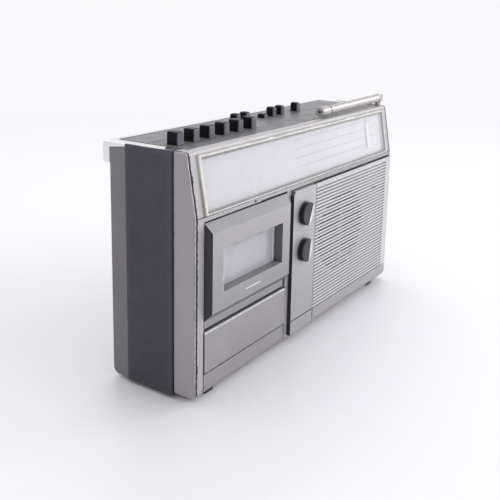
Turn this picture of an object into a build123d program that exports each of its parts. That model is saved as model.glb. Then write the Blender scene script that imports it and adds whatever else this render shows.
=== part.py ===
from build123d import *
import math
import os

# Portable mono radio cassette recorder, in millimetres.
# Every piece is drawn in the cabinet frame: x to the right seen from the front, from the middle,
# y to the back from the lower front face, z up from the surface that the cabinet stands on.
# The finished pieces are then shifted so that the origin is under the middle of the whole object.

# Casing
cabinet_width = 346.0
cabinet_depth = 84.0
top_height = 196.0
case_bottom = 3.0
wall = 2.5
seam = 0.4
front_depth = 20.0
front_foot_round = 7.0
front_brow_round = 3.0
case_corner_round = 4.0
case_edge_round = 2.0
corner_groove_inset = 1.8
corner_groove_width = 1.1
groove_width = 0.9
groove_depth = 1.3
mic_hole_inset = 67.6
mic_hole_radius = 1.0

# Ribbed cheeks at the two sides
cheek_bottom = 2.4
cheek_proud = 1.6
cheek_thickness = 3.0
cheek_back = 67.0
cheek_flange = 11.6
cheek_rim = 1.7
cheek_edge_round = 1.0
cheek_gap = 1.1
rib_pitch = 1.53
rib_depth = 0.3
rib_border = 4.0

# Top panel with its tongue around the radio buttons
panel_thickness = 2.0
top_seam_y = 15.7
top_back_y = 54.4
top_gap = 0.8
tongue_margin = 17.0
tongue_back_y = 68.5
lip = 3.0

# Rear cover
rear_taper = 0.4
rear_foot_round = 6.0
rear_edge_round = 2.5
vent_count = 9
vent_pitch = 6.0
vent_length = 70.0
vent_width = 2.0
vent_inset = 71.4
vent_drop = 76.0

# Dial on the sloped upper front
dial_rise = 48.8
dial_lean = 10.0
dial_margin = 11.2
dial_height = 46.0
cover_proud = 1.5
cover_lip = 3.0
plate_thickness = 1.2
pointer_width = 3.0
pointer_height = 24.0
pointer_foot = 10.0
pointer_inset = 46.7
pointer_travel = 140.0
pointer_thickness = 1.2
pointer_stem = 1.2
rider_room = 1.6
carriage_width = 9.0
carriage_height = 6.0
carriage_thickness = 2.0

# Cassette door
side_strip = 11.4
door_width = 116.4
door_drop = 5.0
door_height = 81.2
door_skirt = 3.9
door_plate = 2.5
door_proud = 6.5
door_top_bevel = 7.2
door_bottom_bevel = 6.8
door_left_bevel = 1.6
door_right_bevel = 4.0
door_wall = 2.0
door_gap = 0.6
door_top_gap = 1.2
window_left_inset = 16.2
window_width = 84.2
window_lift = 24.8
window_height = 34.8
pane_setback = 8.0
pane_thickness = 2.0
pane_margin = 2.2
hinge_y = 3.2
door_hem = 2.1
hinge_notch = 3.5
hinge_radius = 1.2
barrel_radius = 2.9

# Cassette and its holder
cassette_width = 100.4
cassette_height = 63.8
cassette_lift = 9.2
cassette_play = 0.6
cassette_mid_y = 11.0
cassette_thick = 12.0
holder_wall = 1.2
holder_height = 48.4
holder_lip = 4.0
hub_spacing = 42.5
hub_from_top = 29.5
capstan_offset = 35.0
capstan_from_top = 9.0

# Lower left panel
lower_panel_bottom = 22.0
lower_panel_gap = 5.0
lower_panel_proud = 0.7
lower_panel_pocket = 1.4
lower_panel_bevel = 0.9

# Raised right section: knob panel and speaker grille
relief = 3.7
knob_panel_gap = 6.2
knob_panel_width = 38.9
raised_bottom = 9.0
raised_drop = 5.0
knob_panel_chamfer = 3.0
grille_corner = 6.0
grille_gap = 0.8
grille_margin = 3.6
grille_edge_round = 3.4
base_line = 22.2
slat_pitch = 3.208
slat_groove = 1.3
slat_depth = 1.3
slat_margin = 17.5
slat_top_margin = 3.0
slot_half_width = 46.0
slot_half_height = 38.5
slot_rib = 3.0
slot_every = 2
slot_inset = 0.1
mic_slot_inset = 26.4
mic_slot_length = 11.0
mic_slot_from_top = 8
speaker_inset = 54.2
speaker_drop = 55.5

# Knobs
knob_inset = 18.9
knob_drop = 22.6
knob_pitch = 33.8
knob_radius = 10.6
knob_height = 5.4
knob_gap = 0.4
knob_rim_round = 0.8
knob_chord = 2.5
knob_facet_tilt = 27.0
tuning_turn = 22.8
volume_turn = 9.0
shaft_radius = 3.0
shaft_clearance = 0.05
shaft_seat = 7.0

# Cassette keys and radio buttons on top
key_count = 6
key_pitch = 20.0
key_inset = 10.3
key_width = 8.6
key_depth = 11.0
key_y = 36.6
key_rise = 10.0
key_travel = 5.0
key_round = 2.0
key_top_round = 1.5
key_slot_gap = 0.4
stem_width = 4.6
stem_depth = 5.0
button_width = 7.4
button_depth = 8.6
button_y = 61.0
button_rise = 8.6
button_travel = 4.8
button_round = 2.2
button_top_round = 2.0
button_inset = 1.5
button_pitch = 15.0
button_places = {
    "tone_button": 0, "afc_button": 1, "long_wave_button": 3,
    "medium_wave_button": 4, "fm_button": 5, "radio_tape_button": 7,
}
latched_button = "long_wave_button"
button_stem = 4.0
bank_drop = 13.0
bank_height = 22.0
bank_depth = 20.0

# Antenna
antenna_inset = 6.2
antenna_y = 14.8
antenna_rise = 8.0
antenna_droop = 0.75
antenna_length = 128.9
tube_radius = 4.3
tube_wall = 0.4
tube_step = 0.5
tube_play = 0.1
tip_radius = 4.6
tip_length = 15.5
tip_gap = 1.4
tip_hole_radius = 1.3
tip_hole_depth = 1.6
tip_ring_inset = 2.6
tip_ring_width = 0.6
tip_ring_depth = 0.4
post_radius = 3.2
post_sink = 10.0
fork_gap = 2.6
fork_radius = 3.9
rivet_radius = 1.2

# Carrying handle, whose arms lie sunk in the top of the cheeks
arm_inset = 2.1
arm_width = 9.5
arm_thickness = 2.5
arm_sink = 0.2
arm_drop = 2.1
arm_gap = 0.4
bar_depth = 7.7
bar_gap = 0.5
bar_height = 17.4
handle_round = 3.0
handle_end_round = 1.2
pivot_y = 35.1
pivot_below = 2.5
pivot_radius = 1.0
pivot_boss = 2.0
lug_width = 4.0
lug_inset = 4.4
lug_radius = 2.2
lug_back = 2.6
lug_gap = 0.5
nose_length = 4.6
nose_taper = 3.6

# Loudspeaker
basket_radius = 51.0
speaker_opening = 46.5
basket_flange = 1.5
basket_depth = 20.0
basket_floor = 22.0
cone_surround = 43.5
cone_depth = 15.0
voice_radius = 13.0
cone_skin = 0.8
magnet_radius = 24.0
magnet_height = 14.0
basket_windows = 6
basket_window_width = 14.0
basket_web = 3.0

# Tape deck
deck_front = 19.5
deck_thickness = 1.5
deck_skirt = 11.0
deck_drop = 24.0
deck_margin = 1.0
flange_back = 46.0
deck_post_radius = 2.6
spindle_radius = 4.3
spindle_tip = 8.6
spindle_shaft = 1.95
spindle_fin = 1.1
reel_table_radius = 14.0
reel_table = 1.7
capstan_radius = 1.2
bearing_radius = 3.5
flywheel_radius = 23.0
flywheel_front = 24.6
flywheel_width = 8.0
flywheel_rim = 5.0
flywheel_dish = 3.0
belt_groove = 1.0
belt_thickness = 1.0
belt_width = 2.4
belt_clearance = 0.15
motor_offset = 33.8
motor_drop = 4.0
motor_radius = 18.0
motor_front = 35.0
motor_length = 27.0
motor_posts = (90, 260, 350)
motor_shaft = 1.0
pulley_radius = 5.5
pinch_radius = 6.5
pinch_width = 6.0
pinch_lift = 7.0
head_gap = 0.8
head_width = 12.4
head_height = 12.0
head_depth = 11.0

# Circuit board and what is on it
board_front = 45.0
board_thickness = 1.6
board_margin_left = 5.6
board_margin_right = 11.4
board_bottom = 76.0
board_drop = 10.0
pot_radius = 9.0
pot_depth = 11.0
can_size = 10.0
can_height = 12.0
can_count = 4
can_pitch = 16.0
rod_radius = 4.5
rod_length = 130.0
rod_offset = 9.0
rod_drop = 36.0
fit_gap = 0.3

# Battery bay
bay_gap = 39.0
bay_margin = 25.4
bay_bottom = 11.0
bay_top = 71.0
bay_depth = 30.5
bay_wall = 2.0
bay_rim = 0.5
contact_size = 16.0
contact_thickness = 0.6
contact_spring = 3.0
cell_rows = 2
thumb_width = 20.0
thumb_height = 5.0
thumb_drop = 7.0

# Sockets and transformer at the back
transformer_inset = 41.4
transformer_width = 44.0
transformer_depth = 36.0
transformer_height = 38.0
transformer_back = 76.0
coil_bulge = 5.0
inlet_inset = 86.4
inlet_z = 30.0
inlet_width = 24.0
inlet_height = 15.0
inlet_depth = 18.0
inlet_mouth_width = 16.5
inlet_mouth_height = 9.0
inlet_mouth_depth = 13.0
inlet_pin_radius = 1.2
inlet_pin_pitch = 8.6
jack_inset = 116.4
jack_z = 30.0
jack_size = 10.0
jack_depth = 16.0
jack_bore = 1.8
jack_bore_length = 14.0
jack_nose = 3.0

# Feet and screws
foot_width = 12.0
foot_depth = 10.0
foot_inset_x = 25.4
foot_front_y = 10.0
foot_back_y = 66.0
pillar_radius = 3.8
pillar_inset = 6.9
pillar_low_z = 17.0
pillar_drop = 15.0
pillar_top_y = 60.0
well_radius = 4.6
well_bore = 3.4
screw_radius = 1.5
screw_head = 3.0
screw_head_height = 2.4
screw_length = 16.0
screw_clearance = 0.05
pad_round = 2.0

# Derived places
side_x = cabinet_width / 2 - cheek_proud
cheek_front = front_depth + cheek_gap
rear_front = cheek_back + seam
cheek_inner = cabinet_width / 2 - cheek_thickness
panel_half = cabinet_width / 2 - cheek_flange - seam
dial_bottom = top_height - dial_rise
door_top = dial_bottom - door_drop
hinge_z = door_top - door_height
door_block_bottom = hinge_z + door_skirt
window_bottom = hinge_z + window_lift
cassette_bottom = hinge_z + cassette_lift
holder_top = cassette_bottom + holder_height
lower_panel_top = hinge_z - lower_panel_gap
raised_top = dial_bottom - raised_drop
slat_count = int((raised_top - slat_top_margin - base_line) / slat_pitch) + 1
door_left = -side_x + side_strip
door_right = door_left + door_width
door_middle = (door_left + door_right) / 2
knob_panel_left = door_right + knob_panel_gap
knob_panel_right = knob_panel_left + knob_panel_width
knob_x = knob_panel_left + knob_inset
tuning_z = raised_top - knob_drop
volume_z = tuning_z - knob_pitch
speaker_x = knob_panel_right + speaker_inset
speaker_z = raised_top - speaker_drop
slat_right = side_x - slat_margin
mic_slot_x = slat_right - mic_slot_inset
mic_hole_x = door_left + mic_hole_inset
mic_hole_z = (door_top + door_top_gap + dial_bottom) / 2
key_first_x = door_left + key_inset
button_first_x = knob_panel_left + button_inset
button_last_x = button_first_x + max(button_places.values()) * button_pitch
tongue_left = button_first_x - tongue_margin
tongue_right = button_last_x + tongue_margin
bank_top = top_height - bank_drop
antenna_x = side_x - antenna_inset
antenna_z = top_height + antenna_rise
antenna_far_x = antenna_x - antenna_length
post_foot = top_height - post_sink
vent_x = -side_x + vent_inset
vent_z = top_height - vent_drop
pointer_x = side_x - pointer_inset
deck_bottom = hinge_z - deck_skirt
deck_top = top_height - deck_drop
board_left = door_right + board_margin_left
board_right = side_x - board_margin_right
board_top = top_height - board_drop
rod_x_middle = (board_left + board_right) / 2 + rod_offset
rod_z_level = board_top - rod_drop
transformer_x = -side_x + transformer_inset
inlet_x = -side_x + inlet_inset
jack_x = -side_x + jack_inset
bay_left = jack_x + bay_gap
bay_right = side_x - bay_margin
pillar_high_z = top_height - pillar_drop
cassette_top = cassette_bottom + cassette_height
hub_z = cassette_top - hub_from_top
capstan_x = door_middle - capstan_offset
capstan_z = cassette_top - capstan_from_top
pinch_z = cassette_top + pinch_lift
motor_x = door_middle + motor_offset
motor_z = capstan_z - motor_drop
knob_face = -relief - knob_height
bar_front = cabinet_depth + bar_gap
bar_back = bar_front + bar_depth
arm_top = top_height - arm_sink
arm_bottom = arm_top - arm_thickness
channel_z = arm_bottom - arm_gap
pivot_z = arm_bottom - pivot_below
arm_outer = cabinet_width / 2 - arm_inset
arm_inner = arm_outer - arm_width
middle_y = (knob_face + bar_back) / 2


# Small shape helpers
def block(x0, x1, y0, y1, z0, z1):
    """A box between two corners."""
    return Pos((x0 + x1) / 2, (y0 + y1) / 2, (z0 + z1) / 2) * Box(x1 - x0, y1 - y0, z1 - z0)


def rod_x(radius, x0, x1, y, z):
    """A round bar along x."""
    return Pos((x0 + x1) / 2, y, z) * Rot(0, 90, 0) * Cylinder(radius, x1 - x0)


def rod_y(radius, y0, y1, x, z):
    """A round bar along y."""
    return Pos(x, (y0 + y1) / 2, z) * Rot(90, 0, 0) * Cylinder(radius, y1 - y0)


def rod_z(radius, z0, z1, x, y):
    """A round bar along z."""
    return Pos(x, y, (z0 + z1) / 2) * Cylinder(radius, z1 - z0)


def outline(points):
    """A face from the corners of a profile."""
    return make_face(Polyline(*points, close=True))


def round_corner(face, corner, radius):
    """The face with one of its corners rounded."""
    vertex = face.vertices().sort_by_distance(Vector(corner[0], corner[1], 0))[0]
    return fillet(vertex, radius)


def prism_x(face, x0, x1):
    """A profile in y and z, extruded along x."""
    return extrude(Plane.YZ.offset(x0) * face, amount=x1 - x0)


def prism_y(face, y0, y1):
    """A profile in x and z, extruded along y."""
    return extrude(Plane.XZ.offset(-y1) * face, amount=y1 - y0)


def sheet_at(y, x0, x1, z0, z1):
    """A rectangle across the front, at one depth."""
    return Plane.XZ.offset(-y) * Pos((x0 + x1) / 2, (z0 + z1) / 2) * Rectangle(x1 - x0, z1 - z0)


def turned_y(points, x, z):
    """A profile of radius and depth, turned about an axis along y."""
    profile = Plane.XY * outline(points)
    return Pos(x, 0, z) * revolve(profile, Axis.Y)


def both_sides(piece):
    """A piece and its mirror image about the middle."""
    return [piece, mirror(piece, about=Plane.YZ)]


def slope_y(z):
    """Depth of the sloped dial face at a height."""
    return (z - dial_bottom) * math.tan(math.radians(dial_lean))


lean = math.radians(dial_lean)
dial_plane = Plane(
    origin=(0, 0, dial_bottom), x_dir=(1, 0, 0), z_dir=(0, -math.cos(lean), math.sin(lean))
)


def dial_block(u0, u1, v0, v1, w0, w1):
    """A box on the sloped face: along it, up it and out of it."""
    return dial_plane * block(u0, u1, v0, v1, w0, w1)


# Casing
def front_profile(depth):
    """Side profile of the front half: upright below, sloped at the dial, rounded into the top."""
    brow = (slope_y(top_height), top_height)
    foot = (0, case_bottom)
    face = outline([foot, (0, dial_bottom), brow, (depth, top_height), (depth, case_bottom)])
    face = round_corner(face, foot, front_foot_round)
    return round_corner(face, brow, front_brow_round)


def front_outline():
    """Outline of the casing seen from the front, with its corners rounded."""
    low = (-side_x, case_bottom)
    high = (-side_x, top_height)
    face = outline([low, (side_x, case_bottom), (side_x, top_height), high])
    for x, z in (low, (side_x, case_bottom)):
        face = round_corner(face, (x, z), case_corner_round)
    for x, z in (high, (side_x, top_height)):
        face = round_corner(face, (x, z), case_edge_round)
    return face


def pillar_places():
    """Where the four long case screws stand."""
    x = side_x - pillar_inset
    return [(sx * x, z) for sx in (-1, 1) for z in (pillar_low_z, pillar_high_z)]


def deck_post_places():
    """Where the tape deck is screwed to the front."""
    low = deck_bottom + deck_post_radius + 0.4
    high = mic_hole_z + 0.6
    edge = deck_post_radius + deck_margin
    return [(x, z) for x in (door_left + edge, door_right - edge) for z in (low, high)]


def make_front_shell():
    """Moulded front half with its openings, grooves, deck posts and screw pillars."""
    body = prism_x(front_profile(front_depth), -side_x, side_x)
    body = body & prism_y(front_outline(), -1, front_depth + 1)
    deep = front_profile(front_depth + 2 * wall)
    hollow = prism_x(offset(deep, -wall, kind=Kind.INTERSECTION), -side_x + wall, side_x - wall)
    body -= hollow

    # Ledge that carries the top panel
    ledge_z = top_height - panel_thickness
    body += block(-panel_half, panel_half, top_seam_y - lip, front_depth, ledge_z - lip, ledge_z)
    panel_edge = panel_half + seam
    body -= block(-panel_edge, panel_edge, top_seam_y, front_depth + 1, ledge_z, top_height + 1)

    # Dial window, cassette door, speaker and knob shaft openings
    dial_edge = side_x - dial_margin - cover_lip
    body -= dial_block(-dial_edge, dial_edge, cover_lip, dial_height - cover_lip, -3 * wall, wall)
    door_low = hinge_z - math.hypot(hinge_y, door_hem) - door_gap / 3
    gap_left = door_left - door_gap
    gap_right = door_right + door_gap
    body -= block(gap_left, gap_right, -1, wall + 1, door_low, door_top + door_top_gap)
    body -= rod_y(speaker_opening, -1, wall + 1, speaker_x, speaker_z)
    for knob_z in (tuning_z, volume_z):
        body -= rod_y(shaft_radius + 1, -1, wall + 1, knob_x, knob_z)
    body -= rod_y(mic_hole_radius, -1, wall + 1, mic_hole_x, mic_hole_z)

    post_room = post_radius + fit_gap
    body -= rod_z(post_room, post_foot, top_height + 1, antenna_x, antenna_y)

    # Grooves of the front, and the pocket of the lower panel
    ring = deep - offset(deep, -groove_depth, kind=Kind.INTERSECTION)
    for side in (-1, 1):
        groove_x = side * (side_x - corner_groove_inset)
        half = corner_groove_width / 2
        body -= prism_x(ring, groove_x - half, groove_x + half)
    strip_low = case_bottom + case_corner_round
    for groove_x in (gap_left, gap_right):
        x0 = groove_x - groove_width / 2
        body -= block(x0, x0 + groove_width, -1, groove_depth, strip_low, door_low)
    body -= block(
        gap_left, gap_right, -1, lower_panel_pocket,
        lower_panel_bottom - groove_width, lower_panel_top + groove_width,
    )

    raised_left = knob_panel_left - groove_width
    raised_right = side_x - grille_margin
    body -= block(raised_left, raised_right, -1, groove_depth, raised_top, raised_top + groove_width)

    # Deck posts, screw pillars and the lugs of the door hinge
    for x, z in deck_post_places():
        body += rod_y(deck_post_radius, wall - 0.5, deck_front, x, z)
    for x, z in pillar_places():
        start = max(slope_y(z + pillar_radius), 0) + wall - 0.5
        body += rod_y(pillar_radius, start, pillar_top_y, x, z)
        body -= rod_y(screw_radius + screw_clearance, pillar_top_y - screw_length, pillar_top_y + 1, x, z)
    lug_back = hinge_y + barrel_radius
    for x0, x1 in ((gap_left - lip, gap_left), (gap_right, gap_right + lip)):
        body += block(x0, x1, wall - 0.5, lug_back, hinge_z - barrel_radius, hinge_z + barrel_radius)
        body -= rod_x(hinge_radius, x0, x1, hinge_y, hinge_z)
    return body


def make_rear_cover():
    """Rear half: tapered back, bottom wall, top strip, bay and socket openings, screw wells."""
    back_x = side_x - rear_taper
    outer = loft(
        [
            sheet_at(rear_front, -side_x, side_x, case_bottom, top_height),
            sheet_at(cabinet_depth, -back_x, back_x, case_bottom, top_height),
        ],
        ruled=True,
    )
    back_edges = outer.faces().sort_by(Axis.Y)[-1].edges()
    outer = fillet(back_edges.group_by(Axis.Z)[0], rear_foot_round)
    back_edges = outer.faces().sort_by(Axis.Y)[-1].edges()
    outer = fillet(back_edges.group_by(Axis.Z)[-1], rear_edge_round)
    low = case_bottom + wall
    high = top_height - wall
    inner = loft(
        [
            sheet_at(rear_front - 1, wall - side_x, side_x - wall, low, high),
            sheet_at(cabinet_depth - wall, wall - back_x, back_x - wall, low, high),
        ],
        ruled=True,
    )
    cover = outer - inner

    # Bottom wall and top strip, which reach forward between the cheeks
    floor_x = cheek_inner - seam
    cover += block(-floor_x, floor_x, cheek_front, rear_front + 1, case_bottom, case_bottom + wall)
    strip_z = top_height - wall
    strip_front = top_back_y + top_gap
    cover += block(-panel_half, panel_half, strip_front, rear_front + 1, strip_z, top_height)
    lip_top = top_height - panel_thickness
    cover += block(-panel_half, panel_half, top_back_y - lip, strip_front + lip, lip_top - lip, lip_top)
    notch_left = tongue_left - seam
    notch_right = tongue_right + seam
    cover -= block(
        notch_left, notch_right, top_back_y - lip - 1, tongue_back_y + seam,
        lip_top - lip - 1, top_height + 1,
    )
    cover += block(
        notch_left, notch_right, tongue_back_y - lip, tongue_back_y + lip,
        lip_top - lip, lip_top,
    )

    # Sloped channels for the arms of the handle
    channel = outline(
        [
            (rear_front - 1, top_height + 1),
            (rear_front - 1, channel_z),
            (rear_front, channel_z),
            (cabinet_depth + 1, channel_z - arm_drop),
            (cabinet_depth + 1, top_height + 1),
        ]
    )
    fill_z = channel_z - arm_drop - wall
    for side in (-1, 1):
        x0, x1 = sorted((side * (panel_half - wall), side * (back_x - wall / 2)))
        cover += block(x0, x1, rear_front, cabinet_depth - wall / 2, fill_z, top_height - wall / 2)
        x0, x1 = sorted((side * panel_half, side * cabinet_width))
        cover -= prism_x(channel, x0, x1)

    # Openings of the battery bay and the sockets, and the sound slots
    rim = bay_wall - bay_rim
    back_in = cabinet_depth - wall
    cover -= block(
        bay_left + rim, bay_right - rim, back_in - 1, cabinet_depth + 1, bay_bottom + rim, bay_top - rim
    )
    half = inlet_width / 2 + fit_gap
    tall = inlet_height / 2 + fit_gap
    cover -= block(
        inlet_x - half, inlet_x + half, back_in - 1, cabinet_depth + 1, inlet_z - tall, inlet_z + tall
    )
    cover -= rod_y(jack_nose + fit_gap, back_in - 1, cabinet_depth + 1, jack_x, jack_z)
    for row in range(vent_count):
        z = vent_z + (row - (vent_count - 1) / 2) * vent_pitch
        cover -= block(
            vent_x - vent_length / 2, vent_x + vent_length / 2, back_in - 1, cabinet_depth + 1,
            z - vent_width / 2, z + vent_width / 2,
        )

    # Board posts and screw wells
    for x, z in board_post_places():
        cover += rod_y(lip, board_front + board_thickness, back_in + 0.5, x, z)
    for x, z in pillar_places():
        well_floor = pillar_top_y + wall
        cover += rod_y(well_radius, pillar_top_y, back_in + 0.5, x, z)
        cover -= rod_y(well_bore, well_floor, cabinet_depth + 1, x, z)
        cover -= rod_y(screw_radius + fit_gap, pillar_top_y - 1, well_floor + 1, x, z)
    return cover


def board_post_places():
    """Where posts of the rear cover hold the circuit board."""
    inset = 8.0
    return [
        (board_left + inset, board_bottom + inset + pot_radius * 3),
        (board_right - inset, board_bottom + inset),
        (board_right - inset, board_top - inset),
    ]


def make_cheek():
    """Left side panel: a ribbed plate with a channel along its top and a pocket for the handle's arm."""
    outer_x = cabinet_width / 2
    plate = block(-outer_x, -cheek_inner, cheek_front, cheek_back, cheek_bottom, top_height)
    outer_edges = plate.faces().sort_by(Axis.X)[0].edges()
    plate = fillet(outer_edges, cheek_edge_round)
    flange_end = outer_x - cheek_flange
    plate += block(-cheek_inner - 0.5, -flange_end, cheek_front, cheek_back, channel_z - wall, top_height)
    rib_low = cheek_bottom + rib_border
    rib_count = int((top_height - rib_border - rib_low) / rib_pitch)
    groove = outline([(-outer_x - 1, -0.35), (-outer_x + rib_depth, 0), (-outer_x - 1, 0.35)])
    rib_face = Sketch() + [Pos(0, rib_low + i * rib_pitch) * groove for i in range(rib_count + 1)]
    plate -= prism_y(rib_face, cheek_front + rib_border, cheek_back - rib_border)

    # Channel of the arm, and the pocket in which its nose turns down
    rim_x = cheek_rim - outer_x
    sweep = math.hypot(nose_length, pivot_below) + arm_gap
    pocket_front = pivot_y - sweep
    pocket_back = pivot_y + lug_back + lug_gap
    plate -= block(rim_x, 0, pocket_front, cheek_back + 1, channel_z, top_height + 1)
    plate -= block(rim_x, 0, pocket_front, pocket_back, pivot_z - sweep, top_height + 1)
    lug_in, lug_out = lug_span()
    boss_end = lug_out + lug_gap
    plate += rod_x(pivot_boss, rim_x - 0.5, -boss_end, pivot_y, pivot_z)
    return plate - rod_x(pivot_radius, rim_x, -boss_end, pivot_y, pivot_z)


def lug_span():
    """The two x values between which a lug of the handle turns."""
    outer = arm_outer - lug_inset
    return outer - lug_width, outer


def key_places():
    """Middle of each cassette key."""
    return [key_first_x + i * key_pitch for i in range(key_count)]


def button_x(place):
    """Middle of a radio button."""
    return button_first_x + place * button_pitch


def make_top_panel():
    """Top plate with its tongue and the slots of keys and buttons."""
    z0 = top_height - panel_thickness
    panel = block(-panel_half, panel_half, top_seam_y + top_gap, top_back_y, z0, top_height)
    panel += block(tongue_left, tongue_right, top_back_y - 1, tongue_back_y, z0, top_height)
    for x in key_places():
        half = key_width / 2 + key_slot_gap
        deep = key_depth / 2 + key_slot_gap
        panel -= block(x - half, x + half, key_y - deep, key_y + deep, z0 - 1, top_height + 1)
    for place in button_places.values():
        x = button_x(place)
        half = button_width / 2 + key_slot_gap
        deep = button_depth / 2 + key_slot_gap
        panel -= block(x - half, x + half, button_y - deep, button_y + deep, z0 - 1, top_height + 1)
    post_room = post_radius + fit_gap
    panel -= rod_z(post_room, z0 - 1, top_height + 1, antenna_x, antenna_y)
    return panel


# Dial
def make_dial_cover():
    """Clear window on the slope, with a rim that drops into the opening."""
    edge = side_x - dial_margin
    cover = dial_block(-edge, edge, seam, dial_height, 0, cover_proud)
    front_edges = cover.faces().sort_by(Axis.Y)[0].edges()
    cover = fillet(front_edges, cover_proud / 3)
    inner = edge - cover_lip - seam
    low = cover_lip + seam
    high = dial_height - cover_lip - seam
    rim = dial_block(-inner, inner, low, high, -wall / 3, 0)
    rim -= dial_block(-inner + 1.5, inner - 1.5, low + 1.5, high - 1.5, -wall, wall / 10)
    return cover + rim


def make_dial_plate():
    """Scale plate behind the opening; the pointer rides on its top edge."""
    edge = side_x - dial_margin
    top = dial_height - cover_lip - rider_room
    return dial_block(-edge, edge, cover_lip - 1, top, -wall - plate_thickness, -wall)


def make_dial_pointer():
    """Pointer bar in front of the scale, with a thin stem over the plate to the carriage behind it."""
    near = -wall + fit_gap
    front = near + pointer_thickness
    half = pointer_width / 2
    bar_top = pointer_foot + pointer_height
    plate_top = dial_height - cover_lip - rider_room
    top = plate_top + rider_room - fit_gap
    pointer = dial_block(pointer_x - half, pointer_x + half, pointer_foot, bar_top, near, front)
    thin = pointer_stem / 2
    pointer += dial_block(pointer_x - thin, pointer_x + thin, bar_top - 1, top, near, front)
    wide = carriage_width / 2
    back = -wall - plate_thickness - fit_gap
    deep = back - carriage_thickness
    low = plate_top + fit_gap
    pointer += dial_block(pointer_x - thin, pointer_x + thin, low, top, deep, front)
    pointer += dial_block(pointer_x - wide, pointer_x + wide, top - carriage_height, top, deep, back)
    return pointer


# Front panels
def make_lower_panel():
    """Plain panel under the door, bevelled along its top edge."""
    x0 = door_left
    x1 = door_right
    panel = block(x0, x1, -lower_panel_proud, lower_panel_pocket, lower_panel_bottom, lower_panel_top)
    top_front = panel.edges().filter_by(Axis.X).sort_by(Axis.Z)[-2:].sort_by(Axis.Y)[0]
    return chamfer(top_front, lower_panel_bevel)


def make_knob_panel():
    """Raised column with the two shaft holes and a chamfered top corner."""
    panel = block(knob_panel_left, knob_panel_right, -relief, 0, raised_bottom, raised_top)
    corner = panel.edges().filter_by(Axis.Y).sort_by(Axis.X)[:2].sort_by(Axis.Z)[-1]
    panel = chamfer(corner, knob_panel_chamfer)
    for knob_z in (tuning_z, volume_z):
        panel -= rod_y(shaft_radius + 1, -relief - 1, 1, knob_x, knob_z)
    low = base_line - groove_width / 2
    return panel - block(
        knob_panel_left - 1, knob_panel_right + 1, -relief - 1, -relief + groove_depth,
        low, low + groove_width,
    )


def slat_z(row):
    """Height of one groove of the grille."""
    return base_line + row * slat_pitch


def make_speaker_grille():
    """Slatted panel: grooves right across, every second one cut through in an oval before the cone."""
    x0 = knob_panel_right + grille_gap
    x1 = side_x - grille_margin
    panel = block(x0, x1, -relief, 0, raised_bottom, raised_top)
    corner = panel.edges().filter_by(Axis.Y).sort_by(Axis.X)[-2:].sort_by(Axis.Z)[0]
    panel = fillet(corner, grille_corner)
    outer_edge = panel.edges().filter_by(Axis.Z).sort_by(Axis.X)[-2:].sort_by(Axis.Y)[0]
    panel = fillet(outer_edge, grille_edge_round)
    half = slat_groove / 2
    cuts = []
    for row in range(slat_count):
        z = slat_z(row)
        cuts.append(block(x0 - 1, slat_right, -relief - 1, -relief + slat_depth, z - half, z + half))
        rise = (z - speaker_z) / slot_half_height
        if abs(rise) < 1 and row % slot_every == 1:
            reach = slot_half_width * math.sqrt(1 - rise * rise)
            thin = half - slot_inset
            inner = slot_rib / 2
            if reach > 2 * slot_rib:
                for a, b in ((-reach, -inner), (inner, reach)):
                    cuts.append(block(speaker_x + a, speaker_x + b, -relief, 1, z - thin, z + thin))
    mic_z = slat_z(slat_count - mic_slot_from_top)
    thin = half - slot_inset
    mic_half = mic_slot_length / 2
    cuts.append(block(mic_slot_x - mic_half, mic_slot_x + mic_half, -relief, 1, mic_z - thin, mic_z + thin))
    panel -= cuts
    return panel - block(
        x0 - 1, x0 + groove_width, -relief - 1, -relief + groove_depth, raised_bottom - 1, base_line
    )


# Cassette door
def door_form(inset, back_y, front_y):
    """The raised bezel as a frustum, drawn in by a wall."""
    return loft(
        [
            sheet_at(
                back_y, door_left + inset, door_right - inset, door_block_bottom + inset, door_top - inset
            ),
            sheet_at(
                front_y, door_left + door_left_bevel + inset, door_right - door_right_bevel - inset,
                door_block_bottom + door_bottom_bevel + inset, door_top - door_top_bevel - inset,
            ),
        ],
        ruled=True,
    )


def window_block(margin, y0, y1):
    """A box through the window, grown by a margin."""
    x0 = door_left + window_left_inset
    return block(
        x0 - margin, x0 + window_width + margin, y0, y1,
        window_bottom - margin, window_bottom + window_height + margin,
    )


def make_cassette_door():
    """Deep bevelled bezel, hollow behind, with the window tunnel, the hinge barrel and a notch at its end."""
    face = -door_proud
    tunnel_end = face + pane_setback
    door = block(door_left, door_right, 0, door_plate, hinge_z - door_hem, door_top)
    door += door_form(0, 0, face)
    door -= door_form(door_wall, door_plate + 0.5, face + door_wall)
    door += window_block(door_wall, face, tunnel_end)
    door -= window_block(0, face - 1, door_plate + 1)
    notch_left = door_right - hinge_notch
    door -= block(notch_left, door_right + 1, -1, door_plate + 1, hinge_z - door_hem - 1, door_block_bottom)
    door += rod_x(barrel_radius, door_left + fit_gap, notch_left, hinge_y, hinge_z)
    return door - rod_x(hinge_radius + shaft_clearance, door_left - 1, door_right + 1, hinge_y, hinge_z)


def make_door_pane():
    """Clear pane behind the window tunnel."""
    start = -door_proud + pane_setback
    return window_block(pane_margin, start, start + pane_thickness)


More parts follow.
